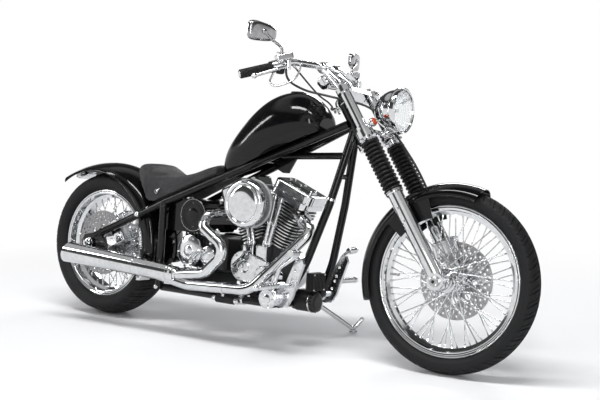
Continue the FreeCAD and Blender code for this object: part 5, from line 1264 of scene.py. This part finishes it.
def makeCoverTrim():
    # cam cover: screws, a raised rim and a points cover; primary: screws, derby rim and a filler
    cam, primary = engineSettings["camOuter"], engineSettings["primaryOuter"]
    first, second = (crank[0] - 48, crank[2] + 18), (crank[0] + 62, crank[2] - 10)
    points = xyz(second[0], cam - 9, second[1])
    gear = xyz(first[0], cam - 7, first[1])
    clutch = (585, 322)
    derby = xyz(clutch[0], primary + 10, clutch[1])
    inspect = xyz(crank[0] - 20, primary, crank[2] + 2)
    putForm("engineCoverTrim", [
        boltsAt(outlineRound(first, 62, second, 58, 8, 10, cam), -left, 4.4, 4.5),
        sweep(outlineRound(first, 62, second, 58, 2.5, 90, cam + 0.4), circle(2, 8), closed=True),
        bead(points + left * 1.6, left, 33, 1.8, 56),
        boltsAt(circleOf(points + left, left, 25, 3, 0.5), -left, 3.4, 2.6),
        turn([(0, 0), (0, 17), (2, 17), (5, 14), (6.5, 7), (7, 0)], points + left * 0.5, -left, 40),
        bead(gear + left, left, 22, 1.6, 48),
        turn([(0, 0), (0, 9), (2, 10), (4, 9), (4, 4), (3, 3.6), (3, 0)], gear, -left, 6),
        boltsAt(outlineRound(clutch, 104, crank[[0, 2]], 88, 13, 14, primary - 1), left, 4.6, 5), boltsAt(
            circleOf(derby, left, 54, 5, 0.3), left, 4, 3.4), bead(derby - left * 0.4, left, 45, 1.8, 72),
        turn([(0, 0), (0, 34), (2, 33), (3.6, 26), (4.4, 14), (4.6, 0)], derby - left * 0.6, left, 56),
        turn([(-1, 0), (-1, 46), (3, 46), (6, 43), (7, 34), (7.6, 0)], inspect, left, 64),
        boltsAt(circleOf(inspect + left * 5.4, left, 39, 4, 0.8), left, 3.6, 2.6)], "chrome")


def makeCaseTrim():
    # ribs, a rim and through bolts on each half of the case
    dark, dull = [], []
    angles = np.radians([-150, -120, -90, -60, -30, 200, -5])
    for side in (1, -1):
        dull.append(boltsAt(crank + wheelPoint(101, side * 62, angles), left * side, 6, 6, hexBolt))
        dark += [roundedBox((6, 5, 44), crank + way * 80 + left * side * 62.5, way, left, 6, rows=6,
                            columns=16) for way in wheelPoint(1, 0, angles[:5])]
        dark.append(bead(crank + left * side * 62, left, 66, 3, 64))
    putForm("caseRibs", dark, "engineBlack", sharp=40)
    putForm("caseBolts", dull, "groundSteel", sharp=25)


def makeGearboxTrim():
    # polished side covers with screws, a release-arm block with its lever, a starter and ribs
    polished, bright, dark = [], [], []
    big, small = xyz(560, -107, 344), xyz(654, -101, 330)
    polished += [turn([(-8, 0), (-8, 66.6), (-2, 67.2), (2, 66), (4, 62),
                       (5, 52), (6.5, 48), (6.5, 26), (9, 24), (11, 20), (11.5, 0)], big, -left, 72),
                 turn([(-10, 0), (-10, 40.6), (-2, 41), (1, 39), (2.5, 34), (2.5, 18), (5, 16), (5.5, 0)],
                      small, -left, 56)]
    bright += [boltsAt(circleOf(big - left * 4.6, left, 57, 6, 0.4), -left, 4.4, 4),
               boltsAt(circleOf(small - left * 2.2, left, 29, 5, 0.2), -left, 3.6, 3.4)]
    polished.append(roundedBox((94, 40, 54), (592, -98, 262), left, forward, 8))
    bright.append(boltsAt([(592 + a, -124.5, 262 + b) for a in (-38, 38) for b in (-18, 18)], -left, 4.6,
                          4.4, hexBolt))
    polished += [roundedBox((50, 6, 28), (592, -125, 262), left, forward, 6), turn(
        [(0, 0), (0, 22), (4, 26), (70, 26), (76, 22), (78, 12), (78, 0)], (676, -70, 420), -forward, 48)]
    for shift in range(8):
        dark.append(roundedBox((8, 6, 76), (520 + shift * 17, -86.5, 408), up, left, 5, rows=5,
                               columns=14))
    lever = [(592, -126, 300), (596, -134, 320), (640, -138, 352), (668, -136, 356)]
    bright += [tube(throughPoints(lever, 8), 5, 14),
               turn([(-8, 0), (-8, 9), (-6, 10), (6, 10), (8, 9), (8, 0)], (592, -126, 300), left, 24)]
    putForm("gearboxCovers", polished, "polishedAlloy")
    putForm("gearboxFittings", bright, "chrome")
    putForm("gearboxRibs", dark, "engineBlack", sharp=40)


cleanerSettings = {"at": crank + xyz(29, -240, 279), "radius": 100, "pleats": 72}


def makeAirCleaner():
    # domed cover with a raised bead, a pleated element behind it and a finned back plate
    c = cleanerSettings
    cover = turn([(-7, 0), (-6.9, 26), (-6.5, 44), (-5.2, 58), (-2.4, 68), (0.2, 72.4), (1.6, 73.4),
                  (0.2, 75), (-2.4, 77.5), (-3.8, 81), (-3.2, 85), (0.2, 89.5), (5, 94), (11, 98),
                  (17, 99.8), (22, 100), (24, 98.6), (24, 90), (22, 0)], c["at"], left, 128)
    turns = np.linspace(0, 2 * np.pi, c["pleats"] * 4 + 1)[:-1]
    radius = np.outer((0.9, 1, 1, 0.9), 86 + 8 * np.abs(turns * c["pleats"] / np.pi % 2 - 1))
    height = np.broadcast_to([[22], [22], [60], [60]], radius.shape)
    rings = np.stack([radius * np.cos(turns), radius * np.sin(turns), height], -1)
    element = setDown(shell(rings, closed=True), c["at"], left)
    fins = [(65 + x + step * 7, r - step * 3) for step in range(4) for x,
            r in ((0, 99), (2, 98.4), (2.5, 90), (5.5, 89))]
    backPlate = [(59, 0), (59, 92), (61, 97), (64, 99)] + fins + [(94, 84), (96, 74), (96, 0)]
    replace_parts(putForm("airCleanerCover", cover, "chrome", sharp=30), "air_cleaner")
    putForm("airCleanerElement", element, "filterPaper", sharp=25)
    putForm("airCleanerBack", turn(backPlate, c["at"], left, 96), "castAlloy", sharp=30)
    carb = crank + xyz(8, -92, 284)
    dull = [boltsAt([carb + xyz(a, -38.4, b) for a in (-26, 26) for b in (-32, 32)],
                    -left, 4, 4, hexBolt), roundedBox((58, 62, 12), carb + up * 46, up, forward, 5),
            turn([(0, 0), (0, 9), (3, 11), (14, 11), (16, 9), (16, 0)], carb - up * 70, -up, 24),
            turn([(0, 0), (0, 14), (2, 15), (5, 15), (7, 13), (7, 0)], carb + forward * 36, forward, 28),
            tube(throughPoints([carb + up * 52, carb + up * 66 - forward * 12,
                                carb + up * 62 - forward * 40], 6), 4, 12)]
    putForm("carburettorTrim", dull, "polishedAlloy")


headerSettings = {  # each header's route under the engine
    "rear": [(698, -200, 462), (842, -200, 372), (728, -200, 268), (588, -204, 248)],
    "front": [(966, -198, 226), (640, -200, 212), (450, -214, 244)],
}


def portEnds(lean):
    reach, y = (96, -46) if lean > 0 else (66, -82)
    return cylinderPoint(lean, 286, lean * 44, -30), cylinderPoint(lean, 282, lean * reach, y)


def makeExhaustTrim():
    # a flange with two studs at each port, band clamps, and raised seams on the silencer
    bright, dull = [], []
    for lean in (1, -1):
        root, mouth = portEnds(lean)
        way = unit(mouth - root)
        across = basisAlong(way)[0]
        bright.append(turn([(-4, 22.2), (-4, 30), (-2, 32), (5, 32), (7, 30), (7, 22.2)], mouth, way, 48))
        stud = [(-6, 0), (-6, 7.5), (3, 7.5), (3, 3.5), (12, 3.5), (13, 0)]
        for side in (1, -1):
            dull.append(turn(stud, mouth + across * side * 36, way, 6))
            bright.append(roundedBox((26, 16, 6), mouth + across * side * 30 - way * 0.5, way, across, 4,
                                     6, 20))

    def clampAt(place, way, radius, half):
        band = [(-half, 0), (-half, 1.4), (1 - half, 2.2), (half - 1, 2.2), (half, 1.4), (half, 0)]
        lug = basisAlong(way, -up)[0]
        bright.append(turn(np.add(band, (0, radius)), place, way, 56))
        dull.append(boltsAt([place + lug * (radius + 7)], np.cross(way, lug), 4, 6, hexBolt))
        bright.append(roundedBox((13, 12, 12), place + lug * (radius + 5), way, lug, 5, 6, 20))

    for header, share in (("rear", 0.5), ("front", 0.4)):
        first, second = np.array(headerSettings[header][:2], float)
        clampAt(first + (second - first) * share, unit(second - first), 22.1, 6)
    start, end = xyz(588, -204, 248), xyz(-44, -238, 284)
    axis, length = unit(end - start), np.linalg.norm(end - start)
    clampAt(start + axis * 14, axis, 31.5, 7)
    for at in (44, 230):  # the silencer widens evenly towards its end
        radius = 36.2 + 11 * (at - 30) / (length + 30)
        bright.append(bead(start + axis * at, axis, radius, 1.1, 72, 6))
    dull.append(boltsAt([(362, -208, 214), (410, -208, 268)], -left, 5, 5, hexBolt))
    putForm("exhaustTrim", bright, "chrome")
    putForm("exhaustBolts", dull, "groundSteel", sharp=25)


def makeOilTrim():
    # oil tank rings and caps, chrome rings painted as edge highlights, the filter's grip flutes, the regulator's
    # screws
    dark, bright = [], []
    for side in (1, -1):
        face = xyz(586, side * 128.6, 498)
        dark += [turn([(-13, 0), (-13, 70), (-1, 70), (0.6, 68.4), (0.6, 66), (-0.2, 65), (-0.2, 0)],
                      face, left * side, 96), bead(face, left, 50.5, 1.5, 72),
                 turn([(0, 0), (0, 30), (2, 29), (3.4, 20), (4, 0)], face - left * side * 0.4,
                      left * side, 56)]
        # painted highlight: the thin chrome ring stands for light caught on the black cap's edge
        bright += [bead(face + left * side * 0.5, left, 67.2, 0.8, 96, 6), boltsAt(
            [(418 + a, side * 116, 480 + b) for a, b in ((0, 0), (30, 62))], left * side, 4.5, 4)]
    cap = turn([(0, 0), (0, 17), (2, 18), (10, 18), (12, 16), (13, 6), (13, 0)], (520, -84, 560), up, 40)
    bright.append(cap)
    front = crank + xyz(261, 0, -102)
    # painted highlight: this chrome ring stands for light caught on the black filter can's edge
    bright.append(turn([(22, 41), (22, 42.6), (23, 43), (27, 43), (28, 42.6), (28, 41)], front, -forward,
                       72))
    flute = roundedBox((4, 4.5, 12), (0, 0, 0), (0, 0, 1), None, 4, 5, 12)
    spots = circleOf(front - forward * 13, forward, 40.5, 18)
    dark.append(repeatForm(flute, spots, np.broadcast_to(forward, spots.shape)))
    regulator = crank + xyz(231, 0, -20)
    bright.append(boltsAt([regulator + xyz(28.4, a, b) for a in (-36, 36) for b in (-30, 30)], forward,
                          3.4, 2.4))
    putForm("oilTrimBlack", dark, "bodyPaint")
    putForm("oilTrimChromeAndPaintedHighlights", bright, "chrome")


makeRockerTrim()
makePushrodTrim()
makeCoverTrim()
makeCaseTrim()
makeGearboxTrim()
makeAirCleaner()
makeExhaustTrim()
makeOilTrim()
print("engine ready")


def onSurface(piece, points, lift):
    # upright points moved to the nearest spots of a finished mesh, raised along its normal, in metres;
    # a spot met twice running is kept once
    tree = BVHTree.FromObject(piece, bpy.context.evaluated_depsgraph_get())
    found = [tree.find_nearest(Vector(point)) for point in onBike(points)]
    spots = np.array([tuple(spot + normal * lift) for spot, normal, _, _ in found])
    return spots[np.append(True, np.linalg.norm(np.diff(spots, axis=0), axis=1) > 0.0002)]


seatTrimSettings = {  # the welt's radius and the stitches' pitch are in metres
    "welt": 0.0021, "stitch": 0.007, "flank": [238, 300, 352, 400, 520, 610, 664],
    "hump": [(285, -112, 700), (321, -124, 678), (356, -136, 648), (393, -146, 610), (424, -146, 570)],
}


def makeSeatTrim(seat):
    # a welt over the hump and along each flank's foot, a row of stitches beside it, and a small strap ring
    s = seatTrimSettings
    half = np.array(s["hump"])
    rows = throughPoints(np.vstack([half[::-1], [(283, -50, 716), (283, 50, 716)], half * [1, -1, 1]]),
                         10)
    lines = [rows] + [throughPoints([(x, side * 170, railHeight(x) + 27) for x in s["flank"]], 12)
                      for side in (1, -1)]
    welts = [sweep(onSurface(seat, line, 0.0004), circle(s["welt"], 8)) for line in lines]
    threads, bright = [], []
    stitch = roundedBox((0.0009, 0.0009, 0.0046), power=3, rows=3, columns=8)
    for shift in (-6, 6):
        length, placeAt = runAlong(onSurface(seat, rows + forward * shift, 0.0003))
        at = np.arange(0.003, length, s["stitch"])
        spots = placeAt(at)
        threads.append(repeatForm(stitch, spots, unit(placeAt(at + 0.001) - spots + 1e-9)))
    for side in (1, -1):
        spot = onSurface(seat, [(377, side * 200, 597)], 0)[0]
        out = stanceMatrix @ xyz(0, side, 0.15)
        bright += [bead(spot + out * 0.0025, out, 0.0085, 0.0018, 32),
                   turn([(0, 0), (0, 0.0045), (0.003, 0.0040), (0.0045, 0.002), (0.0046, 0)],
                        spot + stanceMatrix @ xyz(0.013, 0, 0.011), out, 20),
                   roundedBox((0.020, 0.006, 0.002), spot + out * 0.002 + stanceMatrix
                              @ xyz(0.007, 0, 0.006), out, stanceMatrix @ xyz(0.76, 0, 0.65), 4, 6, 20)]
    putForm("seatWelts", welts, "hide", sharp=60, local=True)
    putForm("seatStitches", threads, "thread", sharp=60, local=True)
    putForm("seatStrapRings", bright, "chrome", sharp=40, local=True)


fenderSettings = {
    "rear": {"centre": rearAxle, "radius": 370, "half": 115, "skirt": 300, "cut": 316, "cutAt": (-40, 12),
             "drop": 190, "tail": 27, "from": -98.6, "body": "chassis"},
    "front": {"centre": frontAxle, "radius": 364, "half": 66, "skirt": 312, "from": -17.6, "tail": 107.6,
              "body": "steering"},
}


def skirtEdge(s):
    # the lower edge of a fender's side, as (angle, reach) rows about its arcs' centres
    angles = np.radians(np.linspace(s["from"], s["tail"] if "cut" not in s else 0, 90))
    reach = np.full(90, s["skirt"])
    centre = s["centre"]
    if "cut" not in s:
        return [(centre, angles, reach)]
    tail = np.radians(np.linspace(0, s["tail"] - 0.4, 40))[1:]
    pieces = []
    for middle, turned, least in (
            (centre, angles, s["skirt"]), (centre - up * s["drop"], tail, s["skirt"] + s["drop"])):
        away = centre + xyz(s["cutAt"][0], 0, s["cutAt"][1]) - middle
        along = -np.sin(turned) * away[0] + np.cos(turned) * away[2]
        root = s["cut"] ** 2 - away @ away + along ** 2
        pieces.append((middle, turned, np.maximum(least, along + np.sqrt(np.maximum(root, 0)))))
    return pieces


def makeFenderEdges():
    # a rolled wire along each side's lower edge
    for label, s in fenderSettings.items():
        forms = []
        for side in (1, -1):
            path = np.vstack([middle + np.stack(
                [-np.sin(turned) * reach, np.full(len(turned), side * (s["half"] - 1.4)),
                 np.cos(turned) * reach], -1) for middle, turned, reach in skirtEdge(s)])
            forms.append(tube(path, 2.6, 10))
        putForm(label + "FenderEdges", forms, "bodyPaint", s["body"], 60)


tailLampSettings = {"turn": math.radians(23), "reach": 557, "length": 64, "width": 92, "height": 25.5}


def makeTailLamp():
    # a boat-shaped clear lens on a shallow bright base, hanging square under the fender's tail
    s = tailLampSettings
    out = xyz(-math.sin(s["turn"]), 0, math.cos(s["turn"]))
    ahead = xyz(math.cos(s["turn"]), 0, math.sin(s["turn"]))
    middle = rearAxle - up * 190 + out * (s["reach"] - 23.8)
    base = roundedBox((s["length"], s["width"] + 3, 11), middle + out * 7, out, ahead, 4.5)
    mount = roundBar(middle + out * 8, middle + out * 24.5, 10)
    inner = roundedBox((s["length"] - 8, s["width"] - 8, 14), middle + out * 1, out, ahead, 3)
    screws = boltsAt([middle + left * y + out * 2 - ahead * 27 for y in (-38, 38)], -out, 3, 4)
    bright = putForm("tailLampBase", [base, mount, inner, screws], "chrome", sharp=50)
    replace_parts(bright, "tail_lamp")
    lens = roundedBox((s["length"] - 2, s["width"], s["height"] - 5.5), middle - out * 2.4, out, ahead,
                      3.2, 20, 56)
    putForm("tailLampLens", lens, "clearGlass", sharp=60)


pegSettings = {"bore": 7.4, "ribs": 11, "dip": 2.2}


def makePegs():
    # slim bright front pegs and thick rubber rear ones: a raised cosine on the radius gives the ribs
    s = pegSettings
    sleeves, slim, pads, bright = [], [], [], []
    for side in (1, -1):
        root, tip = xyz(1100, side * 196, 262), xyz(1112, side * 338, 262)
        rearRoot, rearTip = xyz(778, side * 168, 172), xyz(872, side * 168, 172)
        for start, end, low, high, thick, kept, collar in ((root, tip, 2, np.linalg.norm(
                tip - root) - 4, 12.5, slim, 1.6), (rearRoot, rearTip, 0.2, 93.8, 17, sleeves, 0)):
            z = np.linspace(low + 5, high - 5, s["ribs"] * 10 + 1)
            wave = ripple(np.linspace(0, s["ribs"], len(z)))
            profile = np.vstack([[(low, s["bore"]), (low, thick - 3), (low + 2.5, thick - 0.2)],
                                 np.stack([z, thick - s["dip"] * (1 - wave ** 0.5)], -1),
                                 [(high - 2.5, thick - 0.2), (high, thick - 3), (high, s["bore"])]])
            kept.append(turn(profile, start, end - start, 40))
            ring = [(-2, 7.4), (-2, thick - 4.4), (-1.5, thick - 3.8), (-0.2, thick - 3.8), (-0.2, 7.4)]
            bright.append(turn(ring, start + unit(end - start) * collar, end - start, 36))
    for start, end, radius in ((xyz(1210, -224, 397), xyz(1214, -282, 399), 13), (
            xyz(1136, 246, 390), xyz(1136, 304, 394), 12)):
        way = unit(end - start)
        z = np.linspace(4, np.linalg.norm(end - start) - 4, 61)
        ribs = np.stack([z, radius + 0.4 + 1.6 * ripple(np.linspace(0, 6, 61))], -1)
        profile = np.vstack([[(2, radius - 2), (2, radius + 0.4)], ribs, [(z[-1] + 1, radius - 2)]])
        pads.append(turn(profile, start, way, 36))
        bright.append(turn([(-1, 0), (-1, radius - 2), (0.4, radius), (2.6, radius), (2.6, 0)],
                           end - way * 0.6, way, 36))
    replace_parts(putForm("pegSleeves", sleeves, "mouldedRubber", sharp=50), "foot_pegs")
    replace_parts(putForm("frontPegs", slim, "chrome", sharp=50), "foot_pegs")
    putForm("pedalPads", pads, "chrome", sharp=50)
    for side in (1, -1):
        hub = xyz(1064, side * 213.2, 206)
        screws = [(1090, side * 164, 196), (1166, side * 164, 362), (1120, side * 164, 226)]
        bright += [bead(hub - left * side * 2, left, 35, 1.8, 56),
                   turn([(-1, 0), (-1, 18), (2, 17.4), (4, 13), (4.8, 6), (5, 0)], hub, left * side, 40),
                   boltsAt(circleOf(hub - left * side * 0.6, left, 27, 5, 0.3), left * side, 3.4, 3),
                   boltsAt(screws, left * side, 5, 4.4)]
    putForm("controlTrim", bright, "chrome")


def makeWheelRings():
    # each rim's rolled lip with a dished step inside it, and a black ring between them: a painted reflection
    for centre, radius, half, body, label in ((rearAxle, 242.5, 62.5, "rear_wheel", "rear"), (
            frontAxle, 280.5, 30, "front_wheel", "front")):
        bright, dark = [], []
        for side in (1, -1):
            lip = [(-1.5, radius - 16.5), (-1.5, radius - 1), (-0.4, radius - 0.2), (1.2, radius - 0.4),
                   (2.4, radius - 1.8), (2.7, radius - 3.4), (2.2, radius - 5.2), (0.5, radius - 6.6),
                   (0.2, radius - 8.8), (1.6, radius - 9.6), (1.9, radius - 11), (1.3, radius - 13.2),
                   (0.5, radius - 16)]
            bright.append(turn(lip, centre + left * side * half, left * side, 160))
            # painted reflection: a black bead in the groove stands for the dark line the curved lip reflects
            dark.append(bead(centre + left * side * (half + 0.1), left, radius - 7.8, 0.9, 160, 6))
        putForm(label + "RimLips", bright, "chrome", body, 50)
        putForm(label + "RimPaintedReflection", dark, "engineBlack", body, 60)


def makeFrameTrim():
    # weld beads round the joints, axle nuts open for the axle's bore, strut and post bolts, a hose clip
    beads, bright = [], []
    rail = unit([1, 0, bike["railSlope"]])
    for side in (1, -1):
        y = side * 144
        beads += [bead(xyz(430, y, railHeight(430) - 17), up, 15.6, 2.6, 40), bead(
            xyz(416, y, 263.4), unit([390, 0, -44]), 10, 2.2, 32), bead(xyz(64, side * 141, 303.4), unit(
                [390, 0, -44]), 10.4, 2.2, 32), bead(railPoint(62, side), rail, 16.6, 2.4, 48),
                  bead(xyz(1285.8, side * 10, 880), unit([-65, side * 50, -318]), 16.4, 2.6, 48)]
        beads += [bead(xyz(x, side * 112.5, 172), left, 10.2, 2, 32) for x in (740, 460)]
        nut = [(0, 6.3), (0, 24), (2.2, 24), (2.2, 21.6), (3.2, 22.2), (15.5, 22.2), (17.5, 20.8),
               (19.6, 16), (21, 11), (21, 6.3)]
        bright += [turn(nut, rearAxle + left * side * 156.3, left * side, 12), turn(
            [(0, 0), (0, 12), (2, 13), (5, 12.6), (9, 9.6), (11, 5), (11.6, 0)], railPoint(285, side)
            + left * side * 14.6, left * side, 36), boltsAt([(338, side * 150, 511)], unit(
                [-0.4, side * 0.6, 1]), 5, 4.4), turn([(0, 0), (0, 9), (2, 10), (6, 9), (8, 6), (8.6, 0)],
                                                      xyz(430, side * 159, 178), left * side, 32)]
    tubeWay = unit([-65, -50, -318])
    bright.append(turn([(-5, 16.2), (-5, 18.2), (5, 18.2), (5, 16.2)], xyz(1226, -56, 587) - tubeWay * 22,
                       tubeWay, 48))
    putForm("weldBeads", beads, "framePaint", sharp=60)
    putForm("frameFasteners", bright, "chrome", sharp=30)


makeSeatTrim(seatPiece)
makeFenderEdges()
makeTailLamp()
makePegs()
makeWheelRings()
makeFrameTrim()
print("frame and rear trim ready")


stageSettings = {"reach": 9, "colour": (0.80, 0.80, 0.805, 1), "fadeFrom": 1.25, "fadeTo": 2.9}


def makeStage():
    # a flat round floor that fades to plain white far from the machine
    s = stageSettings
    floorForm = turn([(0, 0), (0, 500), (0, 2000), (0, 4000), (0, s["reach"] * 1000)], (0, 0, 0),
                     (0, 0, 1), 96)
    mesh = bpy.data.meshes.new("floor")
    points = floorForm[0] / 1000 - [0, 0, 0.0005]
    mesh.from_pydata(points.tolist(), [], [row[::-1] for group in floorForm[1] for row in group.tolist()])
    floor = addObject("floor", mesh)
    material, tree = blankMaterial("studioFloor")
    shade = put(tree, "BsdfDiffuse", {"Color": s["colour"]}).outputs[0]
    glow = put(tree, "Emission", {"Color": (1, 1, 1, 1), "Strength": 1}).outputs[0]
    fade = mapRange(tree, vectorMaths(tree, "LENGTH", objectPlace(tree)), s["fadeFrom"], s["fadeTo"],
                    "From")
    path = put(tree, "LightPath").outputs
    seen = maths(tree, "MAXIMUM", path["Is Camera Ray"], path["Is Glossy Ray"])
    seen = maths(tree, "MAXIMUM", seen, path["Is Transmission Ray"])
    mix = put(tree, "MixShader", {0: maths(tree, "MULTIPLY", fade, seen), 1: shade, 2: glow})
    put(tree, "OutputMaterial", {"Surface": mix.outputs[0]})
    mesh.materials.append(material)
    floor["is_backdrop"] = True


worldSettings = {  # what mirrors see: brightness by the sine of the height, and along a window's bearing
    "bands": [(0, 1), (0.15, 1), (0.21, 0.09), (0.62, 0.05), (0.70, 0.55), (0.84, 0.50), (0.90, 0.06)],
    "window": [(0, 0), (0.80, 0), (0.86, 0.9), (0.93, 0.9), (0.95, 0.18), (1, 0.14)],
    "bearing": (0.56, -0.79, 0.24), "room": 0.36,
}


def makeWorld():
    # camera and glass rays see the white backdrop; mirrors see it too, up to the height where the dark
    # ceiling with its soft windows begins; everything else gets a dim even room
    world = bpy.data.worlds.new("studio")
    scene.world = world
    world.use_nodes = True
    tree = world.node_tree
    tree.nodes.clear()
    place = put(tree, "TexCoord").outputs["Generated"]
    height = put(tree, "SeparateXYZ", {0: place})
    bearing = vectorMaths(tree, "DOT_PRODUCT", place, worldSettings["bearing"])
    levels = []
    for source, rows in (
            (height.outputs["Z"], worldSettings["bands"]), (bearing, worldSettings["window"])):
        band = put(tree, "ValToRGB", {"Fac": source})
        ramp = band.color_ramp
        for index, (position, level) in enumerate((rows[0], rows[-1])):
            ramp.elements[index].position = position
            ramp.elements[index].color = (level, level, level, 1)
        for position, level in rows[1:-1]:
            ramp.elements.new(position).color = (level, level, level, 1)
        levels.append(band.outputs["Color"])
    brighter = put(tree, "Mix", {0: 1, 6: levels[0], 7: levels[1]}, data_type="RGBA",
                   blend_type="LIGHTEN")
    path = put(tree, "LightPath")
    room = put(tree, "Background", {"Color": (0.93, 0.95, 1, 1), "Strength": worldSettings["room"]})
    mirror = put(tree, "Background", {"Color": brighter.outputs[2], "Strength": 1})
    white = put(tree, "Background", {"Color": (1, 1, 1, 1), "Strength": 1})
    shown = room.outputs[0]
    for ray, sky in (("Is Glossy Ray", mirror), ("Is Transmission Ray", white), ("Is Camera Ray", white)):
        shown = put(tree, "MixShader", {0: path.outputs[ray], 1: shown, 2: sky.outputs[0]}).outputs[0]
    put(tree, "OutputWorld", {"Surface": shown})


lampSettings = [  # name, place, aim, width, depth, watts
    ("keyAbove", (0.4, -1.2, 4.4), (0.1, -0.1, 0.3), 3.8, 0.6, 165),
    ("sideStrip", (3, -4.4, 2.3), (0.1, 0, 0.6), 0.35, 2.6, 60),
    ("rearStrip", (-3.6, -2.6, 2.4), (-0.3, 0, 0.5), 0.35, 2.4, 50),
    ("farFill", (-0.5, 4.2, 2.8), (0, 0, 0.5), 3.4, 0.4, 80),
]


def aim(piece, place, way):
    # a lamp or a camera looks along its own -z
    piece.location = place
    piece.rotation_euler = Vector(way).to_track_quat("-Z", "Y").to_euler()


def makeLamps():
    for name, place, target, width, depth, watts in lampSettings:
        lamp = bpy.data.lights.new(name, "AREA")
        lamp.shape = "RECTANGLE"
        lamp.size, lamp.size_y, lamp.energy = width, depth, watts
        aim(addObject(name, lamp), place, Vector(target) - Vector(place))


# the camera's place is measured from the rear axle's middle
cameraSettings = {"fromRearAxle": (3.51742, -3.41525, 0.76003), "look": (-0.57941, 0.80676, -0.11589),
                  "lens": 62.99, "sensor": 36}


def makeCamera():
    lens = bpy.data.cameras.new("camera")
    lens.lens = cameraSettings["lens"]
    lens.sensor_width = cameraSettings["sensor"]
    scene.camera = addObject("camera", lens)
    aim(scene.camera, rearJoint["pos_m"] + xyz(*cameraSettings["fromRearAxle"]), cameraSettings["look"])


makeStage()
makeWorld()
makeLamps()
makeCamera()
scene.view_settings.view_transform = "Standard"
print("stage, light and camera ready")

visualBox = [list(corner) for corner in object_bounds()]
